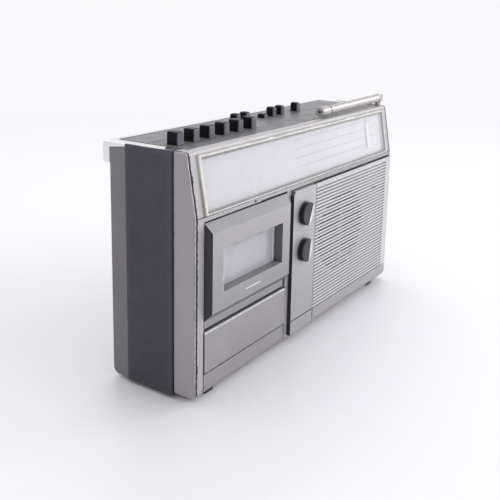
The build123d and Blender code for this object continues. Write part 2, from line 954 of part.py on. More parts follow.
def make_cassette_holder():
    """Tray behind the door: two side channels and a bottom ledge that carry the cassette."""
    half = cassette_width / 2 + cassette_play
    low = cassette_bottom - cassette_play
    front = door_plate
    back = cassette_mid_y + cassette_thick / 2 + cassette_play
    end = back + holder_wall
    x0 = door_middle - half
    x1 = door_middle + half
    holder = block(x0 - holder_wall, x1 + holder_wall, front, end, low - holder_wall, low)
    for edge, way in ((x0, -1), (x1, 1)):
        a, b = sorted((edge, edge + way * holder_wall))
        holder += block(a, b, front, end, low - holder_wall, holder_top)
        a, b = sorted((edge + way * holder_wall, edge - way * holder_lip))
        holder += block(a, b, back, end, low - holder_wall, holder_top)
    return holder


def make_door_hinge_rod():
    """Steel rod that the door turns on."""
    reach = door_gap + lip - fit_gap
    return rod_x(hinge_radius, door_left - reach, door_right + reach, hinge_y, hinge_z)


# Knobs, keys and buttons
def make_knob(knob_z, turn):
    """Round knob with one slanted facet as its mark, on its shaft."""
    back = -relief - knob_gap
    knob = rod_y(knob_radius, knob_face, back, 0, 0)
    front_edge = knob.edges().sort_by(Axis.Y)[0]
    knob = fillet(front_edge, knob_rim_round)
    tilt = math.radians(knob_facet_tilt)
    run = knob_radius
    facet = outline(
        [
            (knob_chord, knob_face),
            (knob_chord + run, knob_face + run * math.tan(tilt)),
            (knob_chord + run, knob_face - 1),
            (knob_chord, knob_face - 1),
        ]
    )
    knob -= extrude(facet, amount=knob_radius + 1, both=True)
    shaft_end = board_front - pot_depth + shaft_seat
    knob += rod_y(shaft_radius, back - 1, shaft_end, 0, 0)
    return Pos(knob_x, 0, knob_z) * Rot(0, turn, 0) * knob


def make_key(x):
    """Cassette key: rounded square cap on a stem that runs in the deck's flange."""
    foot = top_height - panel_thickness - key_travel
    cap = block(
        x - key_width / 2, x + key_width / 2, key_y - key_depth / 2, key_y + key_depth / 2,
        foot, top_height + key_rise,
    )
    cap = fillet(cap.edges().filter_by(Axis.Z), key_round)
    cap = fillet(cap.faces().sort_by(Axis.Z)[-1].edges(), key_top_round)
    half = stem_width / 2
    deep = stem_depth / 2
    stem_foot = deck_top - deck_thickness - key_travel
    return cap + block(x - half, x + half, key_y - deep, key_y + deep, stem_foot, foot + 1)


def make_button(name):
    """Radio button: rounded cap on a stem that runs in the switch bank."""
    drop = button_travel if name == latched_button else 0
    x = button_x(button_places[name])
    foot = top_height - panel_thickness - button_travel - drop
    cap = block(
        x - button_width / 2, x + button_width / 2,
        button_y - button_depth / 2, button_y + button_depth / 2,
        foot, top_height + button_rise - drop,
    )
    cap = fillet(cap.edges().filter_by(Axis.Z), button_round)
    cap = fillet(cap.faces().sort_by(Axis.Z)[-1].edges(), button_top_round)
    half = button_stem / 2
    stem_foot = bank_top - button_stem - drop
    return cap + block(x - half, x + half, button_y - half, button_y + half, stem_foot, foot + 1)


def make_switch_bank():
    """Housing of the radio push switches, soldered to the back of the board."""
    x0 = button_first_x - button_width
    x1 = button_last_x + button_width
    y0 = board_front + board_thickness
    bank = block(x0, x1, y0, y0 + bank_depth, bank_top - bank_height, bank_top)
    half = button_stem / 2 + fit_gap
    hole = 3 * button_stem + button_travel
    for place in button_places.values():
        x = button_x(place)
        bank -= block(x - half, x + half, button_y - half, button_y + half, bank_top - hole, bank_top + 1)
    return bank


# Antenna
def section_radius(step):
    """Outer radius of one of the nested antenna tubes."""
    return tube_radius - step * tube_step


def drooped(piece):
    """A piece of the folded rod, leaning down from its pivot so that its tip nears the top."""
    pivot = Pos(antenna_x, antenna_y, antenna_z)
    return pivot * Rot(0, -antenna_droop, 0) * pivot.inverse() * piece


def make_antenna_swivel():
    """Post that turns in the top, with its rivet and a fork that is round towards the rod."""
    post = rod_z(post_radius, post_foot, antenna_z, antenna_x, antenna_y)
    near, far = antenna_y - fork_radius, antenna_y + fork_radius
    low, high = antenna_z - fork_radius, antenna_z + fork_radius
    head = rod_y(fork_radius, near, far, antenna_x, antenna_z)
    head += block(antenna_x, antenna_x + fork_radius, near, far, low, high)
    swivel = post + head
    half = fork_gap / 2
    room = fork_radius + tube_step
    swivel -= block(
        antenna_x - 2 * room, antenna_x + 2 * room, antenna_y - half, antenna_y + half,
        antenna_z - room, antenna_z + 2 * room,
    )
    return swivel + rod_y(rivet_radius, antenna_y - half - 1, antenna_y + half + 1, antenna_x, antenna_z)


def make_antenna_tube():
    """Outer tube with the flat tongue that tilts in the fork."""
    end = antenna_far_x + tip_length + tip_gap
    start = antenna_x - fork_radius - tube_step
    tube = rod_x(tube_radius, end, start, antenna_y, antenna_z)
    floor = start - 4 * tube_wall
    tube -= rod_x(tube_radius - tube_wall, end - 1, floor, antenna_y, antenna_z)
    half = fork_gap / 2 - 2 * tube_play
    tongue = rod_y(fork_radius - tube_step, antenna_y - half, antenna_y + half, antenna_x, antenna_z)
    tongue += block(
        start - 1, antenna_x, antenna_y - half, antenna_y + half,
        antenna_z - fork_radius + tube_step, antenna_z + fork_radius - tube_step,
    )
    hole = rivet_radius + shaft_clearance
    tube += tongue
    return drooped(tube - rod_y(hole, antenna_y - 2 * half, antenna_y + 2 * half, antenna_x, antenna_z))


def antenna_tip():
    """Turned tip with a hollow end and a ring groove."""
    x1 = tip_length
    ring = tip_ring_inset + tip_ring_width
    low = tip_radius - tip_ring_depth
    profile = outline(
        [
            (tip_hole_depth, 0), (tip_hole_depth, tip_hole_radius), (0, tip_hole_radius),
            (0, tip_radius - tube_wall), (tube_wall, tip_radius), (tip_ring_inset, tip_radius),
            (tip_ring_inset, low), (ring, low), (ring, tip_radius), (x1, tip_radius), (x1, 0),
        ]
    )
    return Pos(antenna_far_x, antenna_y, antenna_z) * revolve(profile, Axis.X)


def make_antenna_section(step, is_tip):
    """One of the tubes that slide out; the last is solid and carries the tip."""
    end = antenna_far_x + tip_length + tip_gap
    start = antenna_x - fork_radius - tube_step - 4 * tube_wall - 2 * step * tube_wall
    radius = section_radius(step)
    if is_tip:
        return drooped(rod_x(radius, end - tip_gap - 1, start, antenna_y, antenna_z) + antenna_tip())
    piece = rod_x(radius, end, start, antenna_y, antenna_z)
    piece -= rod_x(radius - tube_wall, end - 1, start - 2 * tube_wall, antenna_y, antenna_z)
    return drooped(piece)


# Handle
def make_handle():
    """Chromed handle: two arms sunk in the cheeks, a bar behind the back and a lug under each arm."""
    nose = pivot_y - nose_length
    low = arm_top - bar_height
    arm = outline(
        [
            (nose, arm_bottom),
            (rear_front, arm_bottom),
            (bar_front, arm_bottom - arm_drop),
            (bar_front, low),
            (bar_back, low),
            (bar_back, arm_top),
            (nose + nose_taper, arm_top),
        ]
    )
    arm = round_corner(arm, (bar_back, arm_top), handle_round)
    arm = round_corner(arm, (bar_back, low), handle_round)
    handle = prism_x(arm, -arm_outer, -arm_inner) + prism_x(arm, arm_inner, arm_outer)
    bar = outline([(bar_front, low), (bar_back, low), (bar_back, arm_top), (bar_front, arm_top)])
    bar = round_corner(bar, (bar_back, arm_top), handle_round)
    bar = round_corner(bar, (bar_back, low), handle_round)
    handle += prism_x(bar, -arm_inner - 1, arm_inner + 1)
    corners = handle.edges().filter_by(Axis.Z).group_by(Axis.Y)[-1]
    handle = fillet(corners, handle_end_round)
    lug_in, lug_out = lug_span()
    root = arm_bottom + arm_thickness / 2
    heel = pivot_z - lug_radius / 2
    lug = outline(
        [
            (pivot_y - lug_radius, pivot_z), (pivot_y + lug_radius / 2, heel),
            (pivot_y + lug_back, arm_bottom), (pivot_y + lug_back, root), (pivot_y - lug_radius, root),
        ]
    )
    for side in (-1, 1):
        x0, x1 = sorted((side * lug_in, side * lug_out))
        handle += prism_x(lug, x0, x1)
        handle += rod_x(lug_radius, x0, x1, pivot_y, pivot_z)
        handle -= rod_x(pivot_radius + shaft_clearance, x0 - 1, x1 + 1, pivot_y, pivot_z)
    return handle


def make_handle_pivots():
    """Pins in the bosses of the cheeks, through the lugs of the handle."""
    lug_in, lug_out = lug_span()
    pin = rod_x(pivot_radius, lug_in - lug_gap, cabinet_width / 2 - cheek_rim, pivot_y, pivot_z)
    return both_sides(pin)


# Loudspeaker
def make_speaker_basket():
    """Pressed frame: flange, tapered windowed skirt and floor."""
    y0 = wall + cone_skin
    skirt = y0 + basket_flange
    floor = wall + basket_depth
    sheet = basket_flange
    frame = turned_y(
        [
            (speaker_opening, y0), (basket_radius, y0), (basket_radius, skirt),
            (speaker_opening + sheet, skirt), (basket_floor, floor), (voice_radius, floor),
            (voice_radius, floor - sheet),
            (basket_floor - sheet, floor - sheet),
        ],
        speaker_x, speaker_z,
    )
    half = basket_window_width / 2
    window = block(
        basket_floor + basket_web, speaker_opening - basket_web, skirt + basket_web, floor + 1, -half, half
    )
    for i in range(basket_windows):
        frame -= Pos(speaker_x, 0, speaker_z) * Rot(0, i * 360 / basket_windows, 0) * window
    return frame


def make_speaker_cone():
    """Paper cone with its clamped edge, voice coil former and dust cap."""
    y0 = wall
    skin = y0 + cone_skin
    deep = y0 + cone_depth
    edge = (speaker_opening + basket_radius) / 2
    coil = voice_radius - 1
    return turned_y(
        [
            (edge, y0), (cone_surround, y0), (voice_radius - 3, deep - 3), (0, deep - 4.5),
            (0, deep - 4.5 + cone_skin), (voice_radius - 3, deep - 3 + cone_skin), (voice_radius - 2, deep),
            (coil, deep), (coil, deep - 1), (cone_surround, skin + cone_skin), (cone_surround + 1, skin),
            (edge, skin),
        ],
        speaker_x, speaker_z,
    )


def make_speaker_magnet():
    """Ring magnet on the floor of the basket."""
    start = wall + basket_depth
    magnet = rod_y(magnet_radius, start, start + magnet_height, speaker_x, speaker_z)
    return magnet - rod_y(voice_radius, start - 1, start + magnet_height / 2, speaker_x, speaker_z)


# Tape deck
def make_deck_plate():
    """Mechanism plate with the key flange, motor stand-offs, bearings and the pinch roller's pin."""
    x0 = door_left + deck_margin
    x1 = door_right - deck_margin
    back = deck_front + deck_thickness
    plate = block(x0, x1, deck_front, back, deck_bottom, deck_top)
    flange_low = deck_top - deck_thickness
    plate += block(x0, x1, back - 0.5, flange_back, flange_low, deck_top)
    half = stem_width / 2 + fit_gap
    deep = stem_depth / 2 + fit_gap
    for x in key_places():
        plate -= block(x - half, x + half, key_y - deep, key_y + deep, flange_low - 1, deck_top + 1)
    for side in (-1, 1):
        hub_x = door_middle + side * hub_spacing / 2
        plate -= rod_y(spindle_shaft + shaft_clearance, deck_front - 1, back + 1, hub_x, hub_z)
    plate += rod_y(bearing_radius, back - 0.5, flywheel_front - fit_gap, capstan_x, capstan_z)
    plate -= rod_y(capstan_radius + shaft_clearance, deck_front - 1, flywheel_front, capstan_x, capstan_z)
    plate += rod_y(pinch_pin(), cassette_mid_y - pinch_width / 2 - fit_gap, back, capstan_x, pinch_z)
    plate += rod_y(2 * pinch_pin(), cassette_mid_y + pinch_width / 2 + fit_gap, back, capstan_x, pinch_z)
    for angle in motor_posts:
        x = motor_x + (motor_radius - 4) * math.cos(math.radians(angle))
        z = motor_z + (motor_radius - 4) * math.sin(math.radians(angle))
        plate += rod_y(deck_post_radius, back - 0.5, motor_front, x, z)
    return plate


def pinch_pin():
    """Radius of the pin that the pinch roller runs on."""
    return capstan_radius - 2 * shaft_clearance


def make_spindle(side):
    """Reel spindle: hub with three fins on a reel table, and its shaft."""
    x = door_middle + side * hub_spacing / 2
    table_back = deck_front - fit_gap
    table_front = table_back - reel_table
    core = spindle_radius - spindle_fin
    shaft_end = deck_front + deck_thickness + 2
    spindle = turned_y(
        [
            (0, spindle_tip), (core - 1, spindle_tip), (core, spindle_tip + 2), (core, table_front),
            (reel_table_radius, table_front), (reel_table_radius, table_back), (spindle_shaft, table_back),
            (spindle_shaft, shaft_end), (0, shaft_end),
        ],
        x, hub_z,
    )
    fin = block(0, spindle_radius, spindle_tip + 1.5, table_front + 0.5, -spindle_fin / 2, spindle_fin / 2)
    for i in range(3):
        spindle += Pos(x, 0, hub_z) * Rot(0, i * 120, 0) * fin
    return spindle


def make_flywheel():
    """Heavy flywheel with the belt groove, on the capstan shaft."""
    back = flywheel_front + flywheel_width
    mid = (flywheel_front + back) / 2
    half = belt_width / 2 + fit_gap
    groove = flywheel_radius - belt_groove
    rim = flywheel_radius - flywheel_rim
    return turned_y(
        [
            (0, spindle_tip), (capstan_radius, spindle_tip), (capstan_radius, flywheel_front),
            (flywheel_radius, flywheel_front), (flywheel_radius, mid - half), (groove, mid - half),
            (groove, mid + half), (flywheel_radius, mid + half), (flywheel_radius, back),
            (rim, back), (rim, back - flywheel_dish), (bearing_radius, back - flywheel_dish),
            (bearing_radius, back + 1), (0, back + 1),
        ],
        capstan_x, capstan_z,
    )


def make_motor_pulley():
    """Small flanged pulley on the motor's shaft."""
    mid = flywheel_front + flywheel_width / 2
    half = belt_width / 2 + fit_gap
    groove = pulley_radius - belt_groove
    pulley = turned_y(
        [
            (0, mid - half - 1), (pulley_radius, mid - half - 1), (pulley_radius, mid - half),
            (groove, mid - half), (groove, mid + half), (pulley_radius, mid + half),
            (pulley_radius, mid + half + 1), (0, mid + half + 1),
        ],
        motor_x, motor_z,
    )
    return pulley - rod_y(motor_shaft + shaft_clearance, mid, mid + half + 2, motor_x, motor_z)


def belt_loop(extra):
    """Outline of the belt round both grooves, grown by an amount."""
    groove = flywheel_radius - belt_groove + extra
    small = pulley_radius - belt_groove + extra
    wheel = Pos(capstan_x, capstan_z) * Circle(groove)
    pulley = Pos(motor_x, motor_z) * Circle(small)
    return make_hull([*wheel.edges(), *pulley.edges()])


def make_drive_belt():
    """Rubber belt from the motor pulley to the flywheel."""
    mid = flywheel_front + flywheel_width / 2
    outer = belt_loop(belt_clearance + belt_thickness)
    inner = belt_loop(belt_clearance)
    return prism_y(outer - inner, mid - belt_width / 2, mid + belt_width / 2)


def make_drive_motor():
    """Motor can on the deck's stand-offs, with its shaft towards the deck."""
    end = motor_front + motor_length
    can = rod_y(motor_radius, motor_front, end, motor_x, motor_z)
    can = fillet(can.edges().sort_by(Axis.Y)[-1], wall)
    boss = rod_y(bearing_radius, motor_front - 1, motor_front + 1, motor_x, motor_z)
    shaft_tip = flywheel_front + flywheel_width / 2 + fit_gap
    return can + boss + rod_y(motor_shaft, shaft_tip, motor_front + 1, motor_x, motor_z)


def make_pinch_roller():
    """Rubber roller, drawn clear of the cassette."""
    half = pinch_width / 2
    roller = rod_y(pinch_radius, cassette_mid_y - half, cassette_mid_y + half, capstan_x, pinch_z)
    bore = rod_y(pinch_pin() + shaft_clearance, 0, deck_front, capstan_x, pinch_z)
    return fillet(roller.edges(), fit_gap) - bore


def make_tape_heads():
    """Record and play head in the middle and the erase head beside it, each on its foot."""
    heads = []
    low = cassette_top + head_gap
    for x, width in ((door_middle, head_width), (door_middle + head_width * 1.7, head_width * 0.6)):
        half = width / 2
        mid = cassette_mid_y
        body = block(x - half, x + half, mid - head_depth / 2, mid + head_depth / 2, low, low + head_height)
        body = fillet(body.edges().filter_by(Axis.Y).group_by(Axis.Z)[0], wall)
        body += block(x - half, x + half, mid, deck_front, low + head_height / 2, low + head_height)
        heads.append(body)
    return heads


# Electronics
def make_circuit_board():
    """Main board, upright behind the loudspeaker."""
    return block(board_left, board_right, board_front, board_front + board_thickness, board_bottom, board_top)


def make_board_components():
    """Two controls with their bushes, coil cans and capacitors on the front of the board."""
    start = board_front - pot_depth
    parts = []
    for z in (tuning_z, volume_z):
        pot = rod_y(pot_radius, start, board_front, knob_x, z)
        bore = shaft_seat + fit_gap
        parts.append(pot - rod_y(shaft_radius + shaft_clearance, start - 1, start + bore, knob_x, z))
    low = board_front - can_height
    for i in range(can_count):
        x = knob_x + 2 * pot_radius + i * can_pitch
        half = can_size / 2
        z = board_top - can_size
        can = block(x - half, x + half, low, board_front, z - half, z + half)
        parts.append(fillet(can.edges().filter_by(Axis.Y), 1))
        electrolytic = rod_y(half, low - wall, board_front, x + can_count * can_pitch, z)
        parts.append(fillet(electrolytic.edges().sort_by(Axis.Y)[0], 1))
    return parts


def make_ferrite_rod():
    """Long wave and medium wave aerial rod with its coil, behind the board."""
    y = board_front + board_thickness + fit_gap + rod_radius + 1
    half = rod_length / 2
    rod = rod_x(rod_radius, rod_x_middle - half, rod_x_middle + half, y, rod_z_level)
    coil = rod_x(rod_radius + 1, rod_x_middle - half / 2, rod_x_middle, y, rod_z_level)
    return rod + coil


def make_mains_transformer():
    """Laminated core with its coil, standing on the bottom wall."""
    half = transformer_width / 2
    low = case_bottom + wall
    front = transformer_back - transformer_depth
    mid = (front + transformer_back) / 2
    core = block(
        transformer_x - half, transformer_x + half, mid - transformer_depth / 4, mid + transformer_depth / 4,
        low, low + transformer_height,
    )
    coil = block(
        transformer_x - half + coil_bulge, transformer_x + half - coil_bulge, front, transformer_back,
        low + coil_bulge, low + transformer_height - coil_bulge,
    )
    return core + fillet(coil.edges().filter_by(Axis.Z), coil_bulge)


# Battery bay and sockets
def make_battery_box():
    """Open tray for the cells, behind the lid."""
    end = cabinet_depth - wall
    front = end - bay_depth
    box = block(bay_left, bay_right, front, end, bay_bottom, bay_top)
    return box - block(
        bay_left + bay_wall, bay_right - bay_wall, front + bay_wall, end + 1,
        bay_bottom + bay_wall, bay_top - bay_wall,
    )


def make_battery_contacts():
    """A plate and a sprung blade at both ends of each row of cells."""
    front = cabinet_depth - wall - bay_depth + bay_wall
    row_height = (bay_top - bay_bottom - 2 * bay_wall) / cell_rows
    half = contact_size / 2
    mid_y = front + row_height / 2
    contacts = []
    for row in range(cell_rows):
        z = bay_bottom + bay_wall + row_height * (row + 0.5)
        for wall_x, way in ((bay_left + bay_wall, 1), (bay_right - bay_wall, -1)):
            x0, x1 = sorted((wall_x, wall_x + way * contact_thickness))
            plate = block(x0, x1, mid_y - half, mid_y + half, z - half, z + half)
            x0, x1 = sorted((wall_x, wall_x + way * contact_spring))
            nub = rod_x(contact_spring, x0, x1, mid_y, z)
            contacts.append(plate + nub)
    return contacts


def make_battery_lid():
    """Lid of the battery bay, flush with the back, with a thumb groove."""
    rim = bay_wall - bay_rim + seam
    end = cabinet_depth
    lid = block(bay_left + rim, bay_right - rim, end - wall, end, bay_bottom + rim, bay_top - rim)
    mid = (bay_left + bay_right) / 2
    half = thumb_width / 2
    high = bay_top - thumb_drop
    thumb = block(mid - half, mid + half, end - groove_depth, end + 1, high - thumb_height, high)
    return lid - thumb


def make_mains_inlet():
    """Two pin mains inlet in the back."""
    end = cabinet_depth
    half = inlet_width / 2
    tall = inlet_height / 2
    body = block(inlet_x - half, inlet_x + half, end - inlet_depth, end, inlet_z - tall, inlet_z + tall)
    floor = end - inlet_mouth_depth
    mouth = Pos(inlet_x, inlet_z) * SlotOverall(inlet_mouth_width, inlet_mouth_height)
    body -= prism_y(mouth, floor, end + 1)
    for side in (-1, 1):
        x = inlet_x + side * inlet_pin_pitch / 2
        body += rod_y(inlet_pin_radius, floor - 1, end - wall, x, inlet_z)
    return body


def make_earphone_jack():
    """Jack socket whose nose stands in the back wall."""
    end = cabinet_depth
    inside = end - wall
    half = jack_size / 2
    body = block(jack_x - half, jack_x + half, end - jack_depth, inside, jack_z - half, jack_z + half)
    body += rod_y(jack_nose, inside - 1, end, jack_x, jack_z)
    return body - rod_y(jack_bore, end - jack_bore_length, end + 1, jack_x, jack_z)


# Feet and screws
def make_feet():
    """Four rubber pads under the casing."""
    feet = []
    x = side_x - foot_inset_x
    for foot_x in (-x, x):
        for y in (foot_front_y, foot_back_y):
            pad = block(
                foot_x - foot_width / 2, foot_x + foot_width / 2, y - foot_depth / 2, y + foot_depth / 2,
                0, case_bottom,
            )
            feet.append(fillet(pad.edges().filter_by(Axis.Z), pad_round))
    return feet


def make_case_screws():
    """Long screws in the wells of the rear cover."""
    screws = []
    seat = pillar_top_y + wall
    for x, z in pillar_places():
        head = rod_y(screw_head, seat, seat + screw_head_height, x, z)
        shank = rod_y(screw_radius, seat - screw_length + 1, seat + 1, x, z)
        screws.append(head + shank)
    return screws


# All nodes, each drawn once
nodes = {
    "front_shell": make_front_shell(),
    "rear_cover": make_rear_cover(),
    "left_cheek": make_cheek(),
    "top_panel": make_top_panel(),
    "dial_cover": make_dial_cover(),
    "dial_plate": make_dial_plate(),
    "dial_pointer": make_dial_pointer(),
    "lower_panel": make_lower_panel(),
    "knob_panel": make_knob_panel(),
    "speaker_grille": make_speaker_grille(),
    "cassette_door": make_cassette_door(),
    "door_pane": make_door_pane(),
    "cassette_holder": make_cassette_holder(),
    "door_hinge_rod": make_door_hinge_rod(),
    "tuning_knob": make_knob(tuning_z, tuning_turn),
    "volume_knob": make_knob(volume_z, volume_turn),
    "switch_bank": make_switch_bank(),
    "antenna_swivel": make_antenna_swivel(),
    "antenna_tube": make_antenna_tube(),
    "antenna_section_2": make_antenna_section(1, False),
    "antenna_section_3": make_antenna_section(2, False),
    "antenna_tip_section": make_antenna_section(3, True),
    "handle": make_handle(),
    "handle_pivots": make_handle_pivots(),
    "speaker_basket": make_speaker_basket(),
    "speaker_cone": make_speaker_cone(),
    "speaker_magnet": make_speaker_magnet(),
    "deck_plate": make_deck_plate(),
    "take_up_spindle": make_spindle(-1),
    "supply_spindle": make_spindle(1),
    "flywheel": make_flywheel(),
    "motor_pulley": make_motor_pulley(),
    "drive_belt": make_drive_belt(),
    "drive_motor": make_drive_motor(),
    "pinch_roller": make_pinch_roller(),
    "tape_heads": make_tape_heads(),
    "circuit_board": make_circuit_board(),
    "board_components": make_board_components(),
    "ferrite_rod": make_ferrite_rod(),
    "mains_transformer": make_mains_transformer(),
    "battery_box": make_battery_box(),
    "battery_contacts": make_battery_contacts(),
    "battery_lid": make_battery_lid(),
    "mains_inlet": make_mains_inlet(),
    "earphone_jack": make_earphone_jack(),
    "feet": make_feet(),
    "case_screws": make_case_screws(),
}
nodes["right_cheek"] = mirror(nodes["left_cheek"], about=Plane.YZ)
key_names = ("record_key", "play_key", "rewind_key", "forward_key", "stop_key", "pause_key")
for name, x in zip(key_names, key_places()):
    nodes[name] = make_key(x)
for name in button_places:
    nodes[name] = make_button(name)

os.makedirs("parts", exist_ok=True)
for name, piece in nodes.items():
    solids = piece if isinstance(piece, list) else [piece]
    group = Compound([solid for part in solids for solid in part.solids()])
    export_step(Pos(0, -middle_y, 0) * group, f"parts/{name}.step")
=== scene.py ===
import logging
import math
from dataclasses import dataclass, field
from enum import Enum

import bpy
from mathutils import Matrix, Vector


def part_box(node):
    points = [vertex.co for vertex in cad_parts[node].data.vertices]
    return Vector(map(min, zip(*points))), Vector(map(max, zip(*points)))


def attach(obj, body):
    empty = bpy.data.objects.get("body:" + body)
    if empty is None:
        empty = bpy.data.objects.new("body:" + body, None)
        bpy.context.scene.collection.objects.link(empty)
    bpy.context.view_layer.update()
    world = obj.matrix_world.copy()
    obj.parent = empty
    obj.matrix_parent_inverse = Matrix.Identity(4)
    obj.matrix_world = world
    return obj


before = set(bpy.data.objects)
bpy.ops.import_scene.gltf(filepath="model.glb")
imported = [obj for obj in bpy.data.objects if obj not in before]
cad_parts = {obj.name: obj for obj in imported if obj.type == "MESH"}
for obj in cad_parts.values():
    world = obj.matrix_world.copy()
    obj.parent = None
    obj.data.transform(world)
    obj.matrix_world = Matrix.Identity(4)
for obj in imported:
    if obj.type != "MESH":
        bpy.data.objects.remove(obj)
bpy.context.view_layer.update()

LOG = logging.getLogger("radio_recorder")
MM = 0.001
GROOVE_X = 169.05 * MM
DOOR_LEFT = -160.0 * MM
DOOR_RIGHT = -43.6 * MM
Tone = tuple[float, float, float]
Feed = bpy.types.NodeSocket | float | tuple[float, ...]
EVEN: Tone = (1.0, 1.0, 1.0)
NO_LIGHT: Tone = (0.0, 0.0, 0.0)
CLOUD_LOW, CLOUD_HIGH = 0.3, 0.7
EDGE_SAMPLES = 4
CREVICE_SAMPLES = 8
ACRYLIC_IOR = 1.49
SMOOTH_ANGLE = math.radians(35)
BEVEL_STEPS = 2
KNOB_SIDES = 96
SIDE_FACING = (-0.75, -0.55)
FRONT_FACING = (-0.95, -0.55)
UNDER_FACING = (-0.5, -0.2)
UPPER_FACING = (0.2, 0.4)
FLAKE_RANGE = (0.45, 0.75)
FLAKE_LIFT = 1.7
EDGE_RANGE = (0.04, 0.22)
CHIP_SOFT = 0.06
CREVICE_SHADE_SOFT = 0.2
DEEP_SOFT = 0.2 * MM
BORDER_SOFT = 0.3 * MM
RIM_SOFT = 0.5 * MM


class MaterialSlot(Enum):
    """Material slots of the record."""

    WHITE = "white_plastic"
    CHROME = "chrome"
    PLATE = "printed_plate"


class Axis(Enum):
    """Directions of the frame that a finish can be drawn along."""

    X = 0
    Y = 1
    Z = 2


def grey(level: float, blue: float = 0.0) -> Tone:
    """A neutral tone, a little cooler where blue is above zero."""
    return (level, level, level + blue)


class NodeBench:
    """Short calls to lay out the shader nodes of one material."""

    def __init__(self, name: str) -> None:
        """Start an empty material.

        Args:
            name: The material's name.
        """
        self.material = bpy.data.materials.new(name)
        self.material.use_nodes = True
        self.tree = self.material.node_tree
        self.tree.nodes.clear()
        self.output = self.add("ShaderNodeOutputMaterial")
        self.shader = self.add("ShaderNodeBsdfPrincipled")
        self.link(self.shader.outputs[0], self.output.inputs["Surface"])
        self.coords = self.add("ShaderNodeTexCoord")

    def add(self, kind: str) -> bpy.types.Node:
        """Add a node of a kind and return it."""
        return self.tree.nodes.new(kind)

    def link(self, start: bpy.types.NodeSocket, end: bpy.types.NodeSocket) -> None:
        """Join two sockets."""
        self.tree.links.new(start, end)

    def feed(self, value: Feed, socket: bpy.types.NodeSocket) -> None:
        """Link a socket, or set a plain value on it.

        Args:
            value: A socket, a number or a colour.
            socket: The input that takes it.
        """
        if isinstance(value, bpy.types.NodeSocket):
            self.link(value, socket)
        else:
            socket.default_value = value

    def noise(self, scale: float, stretch: Tone = EVEN, detail: float = 3.0) -> bpy.types.NodeSocket:
        """A cloud pattern on Object coordinates.

        Args:
            scale: Features per metre.
            stretch: Scale of the coordinates along each axis.
            detail: Octaves of the pattern.

        Returns:
            The pattern's value.
        """
        mapping = self.add("ShaderNodeMapping")
        mapping.inputs["Scale"].default_value = stretch
        self.link(self.coords.outputs["Object"], mapping.inputs["Vector"])
        noise = self.add("ShaderNodeTexNoise")
        noise.inputs["Scale"].default_value = scale
        noise.inputs["Detail"].default_value = detail
        self.link(mapping.outputs[0], noise.inputs["Vector"])
        return noise.outputs["Fac"]

    def ramp(self, value: bpy.types.NodeSocket, stops: list[tuple[float, Tone]]) -> bpy.types.NodeSocket:
        """A colour ramp through the given stops.

        Args:
            value: The place along the ramp.
            stops: Place and tone of each stop, in order.

        Returns:
            The colour.
        """
        node = self.add("ShaderNodeValToRGB")
        elements = node.color_ramp.elements
        while len(elements) < len(stops):
            elements.new(0.5)
        for element, (place, tone) in zip(elements, stops):
            element.position = place
            element.color = (*tone, 1.0)
        self.link(value, node.inputs["Fac"])
        return node.outputs["Color"]

    def span(
        self, value: bpy.types.NodeSocket, low: float, high: float, start: float = 0.0, end: float = 1.0
    ) -> bpy.types.NodeSocket:
        """Map a value from one range to another, held at both ends.

        Args:
            value: The value.
            low: Start of its own range.
            high: End of its own range.
            start: What low becomes.
            end: What high becomes.

        Returns:
            The mapped value.
        """
        node = self.add("ShaderNodeMapRange")
        node.clamp = True
        self.link(value, node.inputs["Value"])
        for name, number in (("From Min", low), ("From Max", high), ("To Min", start), ("To Max", end)):
            node.inputs[name].default_value = number
        return node.outputs["Result"]

    def math(self, kind: str, first: Feed, second: Feed = 0.0) -> bpy.types.NodeSocket:
        """One arithmetic step on two values.

        Args:
            kind: The node's operation.
            first: The first value.
            second: The second value, where the operation has one.

        Returns:
            The result.
        """
        node = self.add("ShaderNodeMath")
        node.operation = kind
        self.feed(first, node.inputs[0])
        self.feed(second, node.inputs[1])
        return node.outputs[0]

    def mix(self, share: bpy.types.NodeSocket, first: Feed, second: Feed) -> bpy.types.NodeSocket:
        """Blend two colours by a share.

        Args:
            share: How much of the second colour shows.
            first: The first colour.
            second: The second colour.

        Returns:
            The blend.
        """
        node = self.add("ShaderNodeMix")
        node.data_type = "RGBA"
        self.link(share, node.inputs["Factor"])
        for value, name in ((first, "A"), (second, "B")):
            socket = [s for s in node.inputs if s.name == name and s.type == "RGBA"][0]
            self.feed(value if isinstance(value, bpy.types.NodeSocket) else (*value, 1.0), socket)
        return [s for s in node.outputs if s.type == "RGBA"][0]

    def axis_value(self, source: str, axis: Axis) -> bpy.types.NodeSocket:
        """One coordinate of the place or normal in the piece's own space.

        Args:
            source: Object for the place, Normal for the direction.
            axis: Which coordinate.

        Returns:
            The coordinate.
        """
        split = self.add("ShaderNodeSeparateXYZ")
        self.link(self.coords.outputs[source], split.inputs[0])
        return split.outputs[axis.value]

    def bump(self, height: bpy.types.NodeSocket, distance: float) -> bpy.types.NodeSocket:
        """A bump normal from a height pattern.

        Args:
            height: The pattern.
            distance: Height of its full range.

        Returns:
            The normal.
        """
        node = self.add("ShaderNodeBump")
        node.inputs["Distance"].default_value = distance
        self.link(height, node.inputs["Height"])
        return node.outputs["Normal"]

    def edge_mask(self, width: float) -> bpy.types.NodeSocket:
        """How near a sharp edge a place is: 0 on the flat, towards 1 at the edge.

        Args:
            width: Reach of the edge.

        Returns:
            The nearness.
        """
        bevel = self.add("ShaderNodeBevel")
        bevel.samples = EDGE_SAMPLES
        bevel.inputs["Radius"].default_value = width
        place = self.add("ShaderNodeNewGeometry")
        dot = self.add("ShaderNodeVectorMath")
        dot.operation = "DOT_PRODUCT"
        self.link(bevel.outputs["Normal"], dot.inputs[0])
        self.link(place.outputs["Normal"], dot.inputs[1])
        return self.math("SUBTRACT", 1.0, dot.outputs["Value"])

